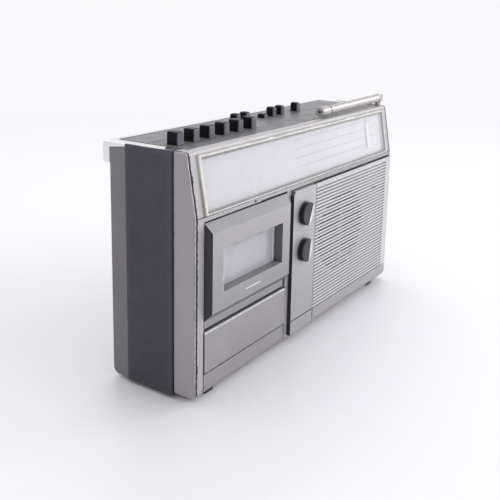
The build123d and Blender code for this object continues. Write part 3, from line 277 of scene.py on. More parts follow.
    def crevice(self, reach: float) -> bpy.types.NodeSocket:
        """How enclosed a place is: 0 in the open, towards 1 down in a groove.

        Args:
            reach: How far walls count.

        Returns:
            The share that is enclosed.
        """
        shade = self.add("ShaderNodeAmbientOcclusion")
        shade.samples = CREVICE_SAMPLES
        shade.inputs["Distance"].default_value = reach
        return self.math("SUBTRACT", 1.0, shade.outputs["AO"])


@dataclass(frozen=True)
class EdgeWearAndLight:
    """Rubbed edges and small chips. On the black keys and knobs this is a painted highlight along the edges, and on the
    silver front, the door and the chrome handle partly a painted dark outline.
    """

    tone: Tone
    width: float = 0.8 * MM
    chip_scale: float = 130.0
    threshold: float = 0.56


@dataclass(frozen=True)
class SeamLine:
    """A line painted along one straight seam or edge of the front: painted shade with dirt in grooves, gaps and
    creases, a painted highlight on some edges, a darker band on others.
    """

    axis: Axis
    place: float
    half: float
    left: float = -1.0
    right: float = 1.0
    low: float = -1.0
    high: float = 1.0
    tone: Tone | None = None
    ragged: float = 0.5
    all_round: bool = False
    soft: float = 0.4 * MM
    facing: float = -0.6


@dataclass(frozen=True)
class Finish:
    """Moulded, painted or bare surface with grain, slow drift of tone, worn edges and dirt, and with painted shade,
    sheen and highlights laid into its colour.
    """

    name: str
    tone: Tone
    drift: float = 0.10
    drift_scale: float = 14.0
    metallic: float = 0.0
    roughness: float = 0.5
    rough_drift: float = 0.10
    grain_scale: float = 1400.0
    grain_height: float = 0.02 * MM
    stretch: Tone = EVEN
    speckle: float = 0.0
    # Painted shade on walls that face left: one tone left of flank_limit, the inner tone right of it. The outer left
    # walls of the door and the knob panel are also taken as bare dark plastic.
    flank_shade_tone: Tone | None = None
    flank_limit: float = 1.0
    inner_shade_tone: Tone | None = None
    # Near black on surfaces deeper than deep_from: bare dark plastic, and painted shade inside the speaker slots.
    deep_shade_tone: Tone | None = None
    deep_from: float = 0.0
    # Painted shade with dirt: grooves, gaps and inner corners that the ambient occlusion node finds are darkened
    # towards this tone, over this reach, from this start on.
    crevice_shade_and_dirt_tone: Tone | None = None
    crevice_shade_and_dirt_reach: float = 4.0 * MM
    crevice_shade_and_dirt_start: float = 0.38
    # Painted shade: darker towards the floor, by low_shade at height zero, gone at low_top.
    low_shade: float = 0.0
    low_top: float = 140 * MM
    # Painted sheen: faces that turn to the front take this lighter tone.
    front_sheen_tone: Tone | None = None
    # Painted shade on faces that turn downwards, and on faces that turn upwards.
    under_shade: float = 0.0
    upper_shade: float = 0.0
    seams: tuple[SeamLine, ...] = ()
    edge_wear_and_light: EdgeWearAndLight | None = None
    specular: float = 0.5

    def shade(self, factor: float) -> Tone:
        """The tone made lighter or darker."""
        return tuple(min(1.0, channel * factor) for channel in self.tone)

    def seam_share(self, bench: NodeBench, seam: SeamLine) -> bpy.types.NodeSocket:
        """How much of a seam's painted line lies at a place, ragged at the seam's sides.

        Args:
            bench: The material under work.
            seam: The seam.

        Returns:
            The share from 0 to 1.
        """
        play = seam.ragged * seam.half
        ragged = bench.span(bench.noise(260.0, EVEN, 4.0), CLOUD_LOW, CLOUD_HIGH, -play, play)
        away = bench.math("ABSOLUTE", bench.math("SUBTRACT", bench.axis_value("Object", seam.axis), seam.place))
        line = bench.span(bench.math("ADD", away, ragged), seam.half - seam.soft, seam.half, 1.0, 0.0)
        if not seam.all_round:
            faces_front = bench.math("LESS_THAN", bench.axis_value("Normal", Axis.Y), seam.facing)
            line = bench.math("MULTIPLY", line, faces_front)
        for axis, start, end in ((Axis.X, seam.left, seam.right), (Axis.Z, seam.low, seam.high)):
            place = bench.axis_value("Object", axis)
            line = bench.math("MULTIPLY", line, bench.math("GREATER_THAN", place, start))
            line = bench.math("MULTIPLY", line, bench.math("LESS_THAN", place, end))
        return line

    def colour(self, bench: NodeBench) -> bpy.types.NodeSocket:
        """Lay out the colour: drift, flakes, painted shade and sheen by facing direction and height, seam lines, worn
        edges with painted highlights and dark outlines, and dirt with painted shade in crevices.

        Args:
            bench: The material under work.

        Returns:
            The colour socket.
        """
        drift = bench.noise(self.drift_scale, self.stretch, 5.0)
        colour = bench.ramp(drift, [(CLOUD_LOW, self.shade(1 - self.drift)), (CLOUD_HIGH, self.shade(1 + self.drift))])
        # Painted shade, darker towards the bottom.
        if self.low_shade:
            height = bench.span(bench.axis_value("Object", Axis.Z), 0.0, self.low_top, self.low_shade, 0.0)
            colour = bench.mix(height, colour, NO_LIGHT)
        if self.speckle:
            flake = bench.span(bench.noise(self.grain_scale, self.stretch, 2.0), *FLAKE_RANGE)
            flake = bench.math("MULTIPLY", flake, self.speckle)
            colour = bench.mix(flake, colour, self.shade(FLAKE_LIFT))
        # Painted shade on faces that turn to the left.
        if self.flank_shade_tone:
            side = bench.span(bench.axis_value("Normal", Axis.X), *SIDE_FACING, 1.0, 0.0)
            across = bench.axis_value("Object", Axis.X)
            flank = bench.ramp(
                bench.math("GREATER_THAN", across, self.flank_limit),
                [(0.0, self.flank_shade_tone), (1.0, self.inner_shade_tone or self.flank_shade_tone)],
            )
            colour = bench.mix(side, colour, flank)
        # Painted sheen on faces that turn to the front, broken up by a cloud pattern.
        if self.front_sheen_tone:
            facing = bench.span(bench.axis_value("Normal", Axis.Y), *FRONT_FACING, 1.0, 0.0)
            sheen_breakup = bench.span(bench.noise(90.0, EVEN, 3.0), 0.25, 0.6, 0.6, 1.0)
            colour = bench.mix(bench.math("MULTIPLY", facing, sheen_breakup), colour, self.front_sheen_tone)
        # Painted shade on downward and upward faces.
        if self.under_shade:
            below = bench.span(bench.axis_value("Normal", Axis.Z), *UNDER_FACING, self.under_shade, 0.0)
            colour = bench.mix(below, colour, NO_LIGHT)
        if self.upper_shade:
            above = bench.span(bench.axis_value("Normal", Axis.Z), *UPPER_FACING, 0.0, self.upper_shade)
            colour = bench.mix(above, colour, NO_LIGHT)
        # Seam lines: painted shade with dirt, painted highlights and darker bands.
        for seam in self.seams:
            colour = bench.mix(self.seam_share(bench, seam), colour, seam.tone or self.crevice_shade_and_dirt_tone)
        # Edges: chips, with a painted highlight on the black keys and knobs and a painted dark outline on the silver
        # front, the door and the chrome.
        if self.edge_wear_and_light:
            edge = bench.span(bench.edge_mask(self.edge_wear_and_light.width), *EDGE_RANGE)
            patch = bench.span(
                bench.noise(self.edge_wear_and_light.chip_scale, EVEN, 6.0),
                self.edge_wear_and_light.threshold, self.edge_wear_and_light.threshold + CHIP_SOFT,
            )
            colour = bench.mix(bench.math("MULTIPLY", edge, patch), colour, self.edge_wear_and_light.tone)
        # Painted shade with dirt in grooves, gaps and inner corners, found by ambient occlusion.
        if self.crevice_shade_and_dirt_tone:
            crevice_shade_and_grime = bench.span(bench.crevice(self.crevice_shade_and_dirt_reach), self.crevice_shade_and_dirt_start, self.crevice_shade_and_dirt_start + CREVICE_SHADE_SOFT)
            colour = bench.mix(crevice_shade_and_grime, colour, self.crevice_shade_and_dirt_tone)
        # Near black deeper than deep_from: bare dark plastic, and painted shade inside the slots.
        if self.deep_shade_tone:
            depth = bench.axis_value("Object", Axis.Y)
            inside = bench.span(depth, self.deep_from, self.deep_from + DEEP_SOFT)
            colour = bench.mix(inside, colour, self.deep_shade_tone)
        return colour

    def material(self) -> bpy.types.Material:
        """Build the material.

        Returns:
            The material.
        """
        bench = NodeBench(self.name)
        shader = bench.shader
        shader.inputs["Metallic"].default_value = self.metallic
        shader.inputs["Specular IOR Level"].default_value = self.specular
        bench.link(self.colour(bench), shader.inputs["Base Color"])
        rough = bench.noise(self.drift_scale * 6, self.stretch, 4.0)
        low = max(0.02, self.roughness - self.rough_drift)
        high = self.roughness + self.rough_drift
        bench.link(bench.span(rough, CLOUD_LOW, CLOUD_HIGH, low, high), shader.inputs["Roughness"])
        grain = bench.noise(self.grain_scale, self.stretch, 2.0)
        bench.link(bench.bump(grain, self.grain_height), shader.inputs["Normal"])
        return bench.material


@dataclass(frozen=True)
class SlatFinish(Finish):
    """Painted slats whose grooves are painted near black, as painted shadow, where they are cut through, in an oval."""

    oval_x: float = 0.0
    oval_z: float = 0.0
    half_width: float = 1.0
    half_height: float = 1.0
    rib: float = 0.0
    slot_z: float = 0.0
    pitch: float = 1.0
    groove: float = 0.0
    mouth_y: float = 0.0
    lone_x: float = 0.0
    lone_z: float = 0.0
    lone_half: float = 0.0

    def colour(self, bench: NodeBench) -> bpy.types.NodeSocket:
        """The painted colour with painted shadow laid over the slots.

        Args:
            bench: The material under work.

        Returns:
            The colour socket.
        """
        across = bench.math("SUBTRACT", bench.axis_value("Object", Axis.X), self.oval_x)
        up = bench.axis_value("Object", Axis.Z)
        wide = bench.math("POWER", bench.math("DIVIDE", across, self.half_width), 2.0)
        tall = bench.math("POWER", bench.math("DIVIDE", bench.math("SUBTRACT", up, self.oval_z), self.half_height), 2.0)
        oval = bench.math("LESS_THAN", bench.math("ADD", wide, tall), 1.0)
        oval = bench.math("MULTIPLY", oval, bench.math("GREATER_THAN", bench.math("ABSOLUTE", across), self.rib / 2))
        row = bench.math("PINGPONG", bench.math("SUBTRACT", up, self.slot_z), self.pitch)
        slots = bench.math("MULTIPLY", oval, bench.math("LESS_THAN", row, self.groove / 2))
        lone_x = bench.math("ABSOLUTE", bench.math("SUBTRACT", bench.axis_value("Object", Axis.X), self.lone_x))
        lone_z = bench.math("ABSOLUTE", bench.math("SUBTRACT", up, self.lone_z))
        lone = bench.math(
            "MULTIPLY", bench.math("LESS_THAN", lone_x, self.lone_half),
            bench.math("LESS_THAN", lone_z, self.groove / 2),
        )
        inside = bench.math("GREATER_THAN", bench.axis_value("Object", Axis.Y), self.mouth_y)
        # Painted shadow: near black on the groove walls where the slots are cut through, and at the one lone slot.
        black = bench.math("MULTIPLY", bench.math("MAXIMUM", slots, lone), inside)
        return bench.mix(black, super().colour(bench), self.deep_shade_tone)


@dataclass(frozen=True)
class ClearFinish:
    """Clear moulded plastic with a faint haze, and a milky border where it is glued or moulded thick."""

    name: str
    tone: Tone
    border_tone: Tone
    line_tone: Tone
    left: float
    right: float
    bottom: float
    top: float
    haze: float
    line_place: float
    rim_tone: Tone | None = None
    rim: float = 2.2 * MM
    left_shade: float = 1.0
    line_width: float = 0.9 * MM
    roughness: float = 0.12

    def inset(self, bench: NodeBench) -> bpy.types.NodeSocket:
        """Distance inside the border's inner rectangle, below zero on the border.

        Args:
            bench: The material under work.

        Returns:
            The distance.
        """
        across = bench.axis_value("Object", Axis.X)
        up = bench.axis_value("Object", Axis.Z)
        from_left = bench.math("SUBTRACT", across, self.left)
        sideways = bench.math("MINIMUM", from_left, bench.math("SUBTRACT", self.right, across))
        from_bottom = bench.math("SUBTRACT", up, self.bottom)
        upright = bench.math("MINIMUM", from_bottom, bench.math("SUBTRACT", self.top, up))
        return bench.math("MINIMUM", sideways, upright)

    def material(self) -> bpy.types.Material:
        """Build the material.

        Returns:
            The material.
        """
        bench = NodeBench(self.name)
        shader = bench.shader
        inset = self.inset(bench)
        border = bench.span(inset, 0.0, BORDER_SOFT, 1.0, 0.0)
        end = bench.math("SUBTRACT", bench.axis_value("Object", Axis.X), self.line_place)
        line = bench.span(bench.math("ABSOLUTE", end), self.line_width * 0.4, self.line_width * 0.6, 1.0, 0.0)
        cloud = bench.noise(30.0, EVEN, 4.0)
        age = bench.span(bench.noise(60.0, EVEN, 5.0), 0.42, 0.62)
        edge = bench.mix(age, self.border_tone, tuple((a + b) / 2 for a, b in zip(self.border_tone, self.line_tone)))
        across = bench.span(bench.axis_value("Object", Axis.X), self.left, self.right)
        # Painted light and shade across the window: the tone scaled by left_shade at the left end, full at the right.
        dimmed = tuple(channel * self.left_shade for channel in self.tone)
        colour = bench.mix(border, bench.ramp(across, [(0.0, dimmed), (1.0, self.tone)]), edge)
        colour = bench.mix(line, colour, self.line_tone)
        if self.rim_tone:
            ragged = bench.span(age, 0.0, 1.0, -RIM_SOFT, RIM_SOFT)
            rim = bench.span(bench.math("ADD", inset, ragged), -self.rim, -self.rim + RIM_SOFT, 1.0, 0.0)
            rim = bench.math("MULTIPLY", rim, bench.span(cloud, 0.35, 0.6, 0.25, 0.9))
            colour = bench.mix(rim, colour, self.rim_tone)
        bench.link(colour, shader.inputs["Base Color"])
        veil = bench.span(cloud, CLOUD_LOW, CLOUD_HIGH, self.haze * 0.9, self.haze * 1.1)
        bench.link(bench.math("MAXIMUM", veil, bench.math("MAXIMUM", border, line)), shader.inputs["Alpha"])
        gloss = bench.span(cloud, CLOUD_LOW, CLOUD_HIGH, self.roughness * 0.6, self.roughness * 1.5)
        bench.link(gloss, shader.inputs["Roughness"])
        shader.inputs["IOR"].default_value = ACRYLIC_IOR
        return bench.material


@dataclass(frozen=True)
class ScaleFinish:
    """Pale dial plate with ruled lines and even ticks for the wave bands."""

    name: str
    tone: Tone
    ink: Tone
    rule_heights: tuple[float, ...]
    line_width: float
    left: float
    right: float
    tick_pitch: float
    tick_length: float

    def band(self, bench: NodeBench, value: bpy.types.NodeSocket, middle: float, half: float) -> bpy.types.NodeSocket:
        """1 where a value lies within half of a middle, else 0."""
        away = bench.math("ABSOLUTE", bench.math("SUBTRACT", value, middle))
        return bench.math("LESS_THAN", away, half)

    def material(self) -> bpy.types.Material:
        """Build the material.

        Returns:
            The material.
        """
        bench = NodeBench(self.name)
        shader = bench.shader
        across = bench.axis_value("Object", Axis.X)
        up = bench.axis_value("Object", Axis.Z)
        inside = self.band(bench, across, (self.left + self.right) / 2, (self.right - self.left) / 2)
        phase = bench.math("PINGPONG", across, self.tick_pitch / 2)
        tick = bench.math("LESS_THAN", phase, self.line_width / 2)
        ink = None
        for height in self.rule_heights:
            rule = self.band(bench, up, height, self.line_width / 2)
            near = self.band(bench, up, height + self.tick_length / 2, self.tick_length / 2)
            mark = bench.math("MAXIMUM", rule, bench.math("MULTIPLY", near, tick))
            ink = mark if ink is None else bench.math("MAXIMUM", ink, mark)
        ink = bench.math("MULTIPLY", ink, inside)
        drift = bench.noise(9.0, EVEN, 3.0)
        paper = bench.ramp(drift, [(CLOUD_LOW, tuple(c * 0.97 for c in self.tone)), (CLOUD_HIGH, self.tone)])
        bench.link(bench.mix(ink, paper, self.ink), shader.inputs["Base Color"])
        bench.link(bench.span(drift, CLOUD_LOW, CLOUD_HIGH, 0.45, 0.6), shader.inputs["Roughness"])
        return bench.material


AnyFinish = Finish | ClearFinish | ScaleFinish
# Painted shade with dirt: the near-black tone of lines along grooves, gaps and creases.
SEAM_SHADE_AND_DIRT = grey(0.008)
# Front shell: painted shade on its left side; near-black painted shade with dirt along its seams, creases, corner
# grooves and microphone hole; chips at the corner grooves' ends; a darker band along the bottom strip; a dark outline
# on its edges, partly chips and partly painted shade.
SILVER = Finish(
    "silver_paint", (0.415, 0.402, 0.415), drift=0.07, metallic=0.25, roughness=0.42, rough_drift=0.06,
    grain_scale=2600.0, grain_height=0.004 * MM, speckle=0.10, flank_shade_tone=(0.340, 0.318, 0.328),
    crevice_shade_and_dirt_tone=grey(0.10), crevice_shade_and_dirt_start=0.40,
    seams=(
        SeamLine(Axis.Z, 10.4 * MM, 11.3 * MM, DOOR_LEFT, DOOR_RIGHT, tone=(0.30, 0.287, 0.298), ragged=0.01),
        SeamLine(Axis.Z, 147.2 * MM, 0.6 * MM, -GROOVE_X, GROOVE_X, tone=SEAM_SHADE_AND_DIRT),
        SeamLine(Axis.Z, 142.9 * MM, 0.7 * MM, DOOR_LEFT, DOOR_RIGHT, tone=SEAM_SHADE_AND_DIRT),
        SeamLine(Axis.Z, 143.3 * MM, 1.0 * MM, -84 * MM, DOOR_RIGHT, tone=SEAM_SHADE_AND_DIRT, ragged=0.2),
        SeamLine(Axis.Z, 145.3 * MM, 1.2 * MM, -93.6 * MM, -91.2 * MM, tone=SEAM_SHADE_AND_DIRT, ragged=0.2),
        SeamLine(Axis.Z, 21.7 * MM, 0.6 * MM, DOOR_LEFT, DOOR_RIGHT, tone=SEAM_SHADE_AND_DIRT),
        SeamLine(Axis.X, -GROOVE_X, 1.0 * MM, tone=SEAM_SHADE_AND_DIRT),
        SeamLine(Axis.X, -GROOVE_X, 1.1 * MM, high=45 * MM, tone=SEAM_SHADE_AND_DIRT, ragged=1.0),
        SeamLine(Axis.X, -GROOVE_X, 1.0 * MM, low=172 * MM, tone=SEAM_SHADE_AND_DIRT, ragged=1.0),
        SeamLine(Axis.X, GROOVE_X, 0.5 * MM, tone=SEAM_SHADE_AND_DIRT),
    ),
    edge_wear_and_light=EdgeWearAndLight(grey(0.04), width=1.0 * MM, chip_scale=220.0, threshold=0.50),
)
# Lower panel: a painted highlight along its top edge, painted shade with dirt along its bottom edge and in crevices,
# and painted shade towards the bottom.
SILVER_LOW = Finish(
    "flap_silver_paint", (0.325, 0.313, 0.328), drift=0.08, metallic=0.25, roughness=0.40, rough_drift=0.06,
    grain_scale=2600.0, grain_height=0.004 * MM, speckle=0.10, low_shade=0.16, low_top=70 * MM,
    crevice_shade_and_dirt_tone=grey(0.02),
    seams=(
        SeamLine(Axis.Z, 54.95 * MM, 0.55 * MM, tone=grey(0.62)),
        SeamLine(Axis.Z, 22.3 * MM, 0.5 * MM),
    ),
)
# Knob panel: the silver paint made lighter, as painted light from the right; near black on its left wall, painted shade
# that is also taken as bare dark plastic; painted shade towards the bottom and with dirt in crevices; chips on its
# edges.
SILVER_PAINTED_LIT = Finish(
    "lit_silver_paint", (0.445, 0.435, 0.450), drift=0.05, metallic=0.25, roughness=0.38, rough_drift=0.06,
    grain_scale=2600.0, grain_height=0.004 * MM, speckle=0.10, flank_shade_tone=grey(0.02), low_shade=0.30,
    crevice_shade_and_dirt_tone=grey(0.02), edge_wear_and_light=EdgeWearAndLight(grey(0.08), threshold=0.60),
)
# Grille: the silver paint made lighter on the slats, as painted light; painted shade with dirt in the grooves; painted
# shadow in the slots; a darker band along the bottom strip; a near-black line of painted shade in the gap by the knob
# panel; chips on its edges.
SILVER_SLATS = SlatFinish(
    "slatted_silver_paint", (0.545, 0.533, 0.550), drift=0.05, metallic=0.25, roughness=0.38, rough_drift=0.06,
    grain_scale=2600.0, grain_height=0.004 * MM, speckle=0.10, deep_shade_tone=grey(0.004), deep_from=-43.9 * MM,
    crevice_shade_and_dirt_tone=grey(0.24), crevice_shade_and_dirt_reach=2.0 * MM, crevice_shade_and_dirt_start=0.42, edge_wear_and_light=EdgeWearAndLight(grey(0.12), threshold=0.66),
    seams=(
        SeamLine(Axis.Z, 10.9 * MM, 11.0 * MM, tone=(0.345, 0.335, 0.350), ragged=0.01),
        SeamLine(Axis.X, 2.75 * MM, 0.6 * MM, high=22.2 * MM, tone=grey(0.01)),
    ),
    oval_x=55.7 * MM, oval_z=86.7 * MM, half_width=46 * MM, half_height=38.5 * MM, rib=3 * MM,
    slot_z=25.408 * MM, pitch=3.208 * MM, groove=1.34 * MM, mouth_y=-45.35 * MM,
    lone_x=127.5 * MM, lone_z=115.23 * MM, lone_half=5.5 * MM,
)
# Door: near black on its outer left wall, painted shade that is also taken as bare dark plastic; painted shade on the
# left-facing walls inside the window, towards the bottom, on the downward bevel and on the upward bevel; painted shade
# with dirt in crevices; a dark outline on its edges, partly chips and partly painted shade; a painted highlight along
# the window's left edge.
SILVER_DOOR = Finish(
    "door_silver_paint", (0.395, 0.384, 0.400), drift=0.06, metallic=0.12, roughness=0.48,
    rough_drift=0.06, grain_scale=1600.0, grain_height=0.010 * MM, speckle=0.14,
    flank_shade_tone=grey(0.03), flank_limit=-150 * MM, inner_shade_tone=grey(0.14), crevice_shade_and_dirt_tone=grey(0.02),
    low_shade=0.58, under_shade=0.45, upper_shade=0.29, edge_wear_and_light=EdgeWearAndLight(grey(0.05), threshold=0.46),
    seams=(SeamLine(Axis.X, -144.2 * MM, 0.42 * MM, low=85.8 * MM, high=120.6 * MM, tone=grey(0.76)),),
)
# Cheeks: painted shade, darker towards the bottom.
CHEEK = Finish(
    "ribbed_dark_plastic", (0.0645, 0.0635, 0.083), drift=0.08, roughness=0.56, grain_scale=2200.0,
    grain_height=0.008 * MM, low_shade=0.25, low_top=190 * MM, specular=0.32,
)
# Rear cover and battery parts: painted shade, darker towards the bottom, and painted shade with dirt in crevices.
REAR = Finish(
    "grey_grained_plastic", (0.198, 0.190, 0.206), roughness=0.55, grain_scale=1500.0, grain_height=0.05 * MM,
    low_shade=0.24, low_top=190 * MM, crevice_shade_and_dirt_tone=grey(0.02),
)
# Top: painted shade with dirt in crevices.
TOP = Finish(
    "grey_top_paint", grey(0.125, 0.006), drift=0.06, metallic=0.3, roughness=0.40, grain_scale=2400.0,
    grain_height=0.012 * MM, speckle=0.12, crevice_shade_and_dirt_tone=grey(0.008), edge_wear_and_light=EdgeWearAndLight(grey(0.32), threshold=0.66),
)
# Keys and buttons: a painted sheen on their front faces and a painted highlight along their edges.
KEY_BLACK = Finish(
    "satin_black_key_plastic", grey(0.006, 0.002), roughness=0.30, rough_drift=0.05, grain_scale=1800.0,
    grain_height=0.003 * MM, specular=0.12, front_sheen_tone=(0.195, 0.203, 0.232),
    edge_wear_and_light=EdgeWearAndLight(grey(0.30), width=0.9 * MM, threshold=0.44),
)
# Knobs: a painted sheen on their front faces and a painted highlight along their rims.
BLACK = Finish(
    "satin_black_plastic", grey(0.008, 0.003), roughness=0.28, rough_drift=0.05, grain_scale=1800.0,
    grain_height=0.003 * MM, specular=0.26, front_sheen_tone=(0.016, 0.019, 0.028),
    edge_wear_and_light=EdgeWearAndLight(grey(0.46), width=0.9 * MM, threshold=0.34),
)
INLAY = Finish("bright_inlay", grey(0.86), drift=0.03, metallic=0.6, roughness=0.22, rough_drift=0.05)
PRINT = Finish("pale_print", grey(0.72), drift=0.05, roughness=0.6)
SOCKET = Finish("black_socket_plastic", grey(0.02), roughness=0.5)
# Handle: a painted dark outline along its edges, as painted shade.
CHROME = Finish(
    "bright_chrome", grey(0.80, 0.02), drift=0.03, metallic=1.0, roughness=0.12, rough_drift=0.04,
    grain_scale=700.0, grain_height=0.002 * MM, edge_wear_and_light=EdgeWearAndLight(grey(0.22), width=0.7 * MM, threshold=0.30),
)
# Antenna: a painted dark ring of shade at the gap between the tip and the tube, and brown dirt with painted shade in
# crevices.
NICKEL = Finish(
    "rubbed_nickel_tube", (0.47, 0.447, 0.435), drift=0.05, metallic=0.85, roughness=0.42, rough_drift=0.05,
    grain_scale=700.0, grain_height=0.002 * MM, stretch=(0.2, 1.0, 1.0), crevice_shade_and_dirt_tone=(0.10, 0.085, 0.07), crevice_shade_and_dirt_start=0.28,
    seams=(SeamLine(Axis.X, 53.0 * MM, 1.1 * MM, tone=grey(0.03), ragged=0.1, all_round=True),),
)
STEEL = Finish(
    "zinc_plated_steel", grey(0.45), metallic=1.0, roughness=0.35, grain_scale=900.0,
    grain_height=0.006 * MM, stretch=(0.2, 1.0, 1.0),
)
BRASS = Finish("drawn_brass", (0.68, 0.50, 0.20), metallic=1.0, roughness=0.3, stretch=(1.0, 0.2, 1.0))
RUBBER = Finish("black_rubber", grey(0.02), roughness=0.8, grain_scale=900.0, grain_height=0.04 * MM)
PAPER = Finish("dark_cone_paper", grey(0.018), roughness=0.9, grain_scale=1100.0, grain_height=0.06 * MM)
FERRITE = Finish("sintered_ferrite", grey(0.035), roughness=0.7)
LAMINATE = Finish("brown_laminate", (0.30, 0.17, 0.07), roughness=0.5, stretch=(1.0, 1.0, 0.3))
CANS = Finish("drawn_aluminium_cans", grey(0.62), metallic=1.0, roughness=0.3)
WHITE = Finish("white_plastic", (0.92, 0.92, 0.91), drift=0.03, roughness=0.35)
# Dial window: painted shade, darker towards the left.
DIAL_CLEAR = ClearFinish(
    "dial_window", (0.90, 0.90, 0.93), (0.66, 0.65, 0.645), (0.78, 0.745, 0.67),
    left=-157.5 * MM, right=158.2 * MM, bottom=148.9 * MM, top=190.9 * MM, haze=0.29, line_place=-157.4 * MM,
    line_width=0.8 * MM, rim_tone=(0.30, 0.27, 0.24), rim=1.7 * MM, left_shade=0.84,
)
# Door window: a painted highlight along its right edge, and painted light, lighter towards the left.
PANE_CLEAR = ClearFinish(
    "door_window", (0.52, 0.525, 0.575), (0.52, 0.525, 0.575), (0.92, 0.91, 0.93),
    left=-160 * MM, right=-50 * MM, bottom=60 * MM, top=150 * MM, haze=0.74, line_place=-62.2 * MM,
    line_width=1.2 * MM, left_shade=1.14,
)
DIAL_SCALE = ScaleFinish(
    "dial_scale", (0.78, 0.78, 0.83), (0.44, 0.46, 0.55),
    rule_heights=(0.160, 0.168, 0.176, 0.184), line_width=0.8 * MM,
    left=-20 * MM, right=140 * MM, tick_pitch=10 * MM, tick_length=2 * MM,
)


def start_edit(piece: bpy.types.Object) -> None:
    """Put one piece's place and size into its mesh, then open it for editing with all of it selected.

    Args:
        piece: The new piece.
    """
    bpy.ops.object.transform_apply(location=True, rotation=True, scale=True)
    bpy.context.view_layer.objects.active = piece
    bpy.ops.object.mode_set(mode="EDIT")
    bpy.ops.mesh.select_all(action="SELECT")


def end_edit(piece: bpy.types.Object, name: str, body: str, material: bpy.types.Material) -> None:
    """Close a piece and make it part of the object.

    Args:
        piece: The piece under work.
        name: Its name.
        body: The body that carries it.
        material: The finish.
    """
    bpy.ops.mesh.normals_make_consistent(inside=False)
    bpy.ops.object.mode_set(mode="OBJECT")
    bpy.ops.object.shade_smooth_by_angle(angle=SMOOTH_ANGLE)
    piece.name = name
    piece.data.name = name
    piece.data.materials.clear()
    piece.data.materials.append(material)
    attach(piece, body)
    LOG.info("%s rides on %s", name, body)


class Dresser:
    """Puts finishes on CAD nodes, each material built once."""

    def __init__(self) -> None:
        """Start with no materials."""
        self.made: dict[str, bpy.types.Material] = {}

    def material(self, finish: AnyFinish) -> bpy.types.Material:
        """The finish's material, built at its first use.

        Args:
            finish: The finish.

        Returns:
            The material.
        """
        if finish.name not in self.made:
            self.made[finish.name] = finish.material()
        return self.made[finish.name]

    def dress(self, finishes: dict[str, AnyFinish]) -> None:
        """Put each finish on its node.

        Args:
            finishes: Finish for each node's name.
        """
        for node, finish in finishes.items():
            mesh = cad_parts[node].data
            mesh.materials.clear()
            mesh.materials.append(self.material(finish))
            LOG.info("%s: %s", node, finish.name)


class Assembly:
    """A sub-assembly: finishes for its CAD nodes, and new pieces where it has any."""

    finishes: dict[str, AnyFinish]

    def dress(self, dresser: Dresser) -> None:
        """Put the finishes on the sub-assembly's nodes."""
        dresser.dress(self.finishes)

    def build(self, dresser: Dresser) -> None:
        """Model the new pieces; without any, only say so."""
        LOG.info("%s adds no piece", type(self).__name__)


@dataclass
class Casing(Assembly):
    """Front, back, cheeks, top, panels, feet and screws."""

    finishes: dict[str, AnyFinish] = field(
        default_factory=lambda: {
            "front_shell": SILVER, "speaker_grille": SILVER_SLATS, "lower_panel": SILVER_LOW,
            "knob_panel": SILVER_PAINTED_LIT, "rear_cover": REAR, "battery_lid": REAR, "battery_box": REAR,
            "left_cheek": CHEEK, "right_cheek": CHEEK, "top_panel": TOP, "feet": RUBBER,
            "case_screws": STEEL, "handle": CHROME, "handle_pivots": STEEL,
            "mains_inlet": SOCKET, "earphone_jack": SOCKET, "battery_contacts": BRASS,
        }
    )


@dataclass
class Dial(Assembly):
    """Clear window, scale plate and pointer."""

    lean: float = 10.0
    flag_wide: float = 7.0 * MM
    flag_tall: float = 23.6 * MM
    flag_thick: float = 0.3 * MM
    pointer_tall: float = 24.0 * MM
    flag_bevel: float = 0.1 * MM
    finishes: dict[str, AnyFinish] = field(
        default_factory=lambda: {"dial_cover": DIAL_CLEAR, "dial_plate": DIAL_SCALE, "dial_pointer": WHITE}
    )

    def build(self, dresser: Dresser) -> None:
        """Model the wide white flag on the pointer's front.

        Args:
            dresser: Holds the materials.
        """
        low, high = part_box("dial_pointer")
        lean = math.radians(self.lean)
        middle = (
            (low[0] + high[0]) / 2,
            low[1] + self.pointer_tall / 2 * math.sin(lean) + self.flag_thick / 2 * math.cos(lean),
            low[2] + self.pointer_tall / 2 * math.cos(lean),
        )
        bpy.ops.object.select_all(action="DESELECT")
        bpy.ops.mesh.primitive_cube_add(size=1.0, location=middle, rotation=(-lean, 0.0, 0.0))
        piece = bpy.context.object
        piece.scale = (self.flag_wide, self.flag_thick, self.flag_tall)
        start_edit(piece)
        bpy.ops.mesh.bevel(offset=self.flag_bevel, offset_type="OFFSET", segments=BEVEL_STEPS, affect="EDGES")
        end_edit(piece, "dial_pointer_flag", "pointer", dresser.material(WHITE))


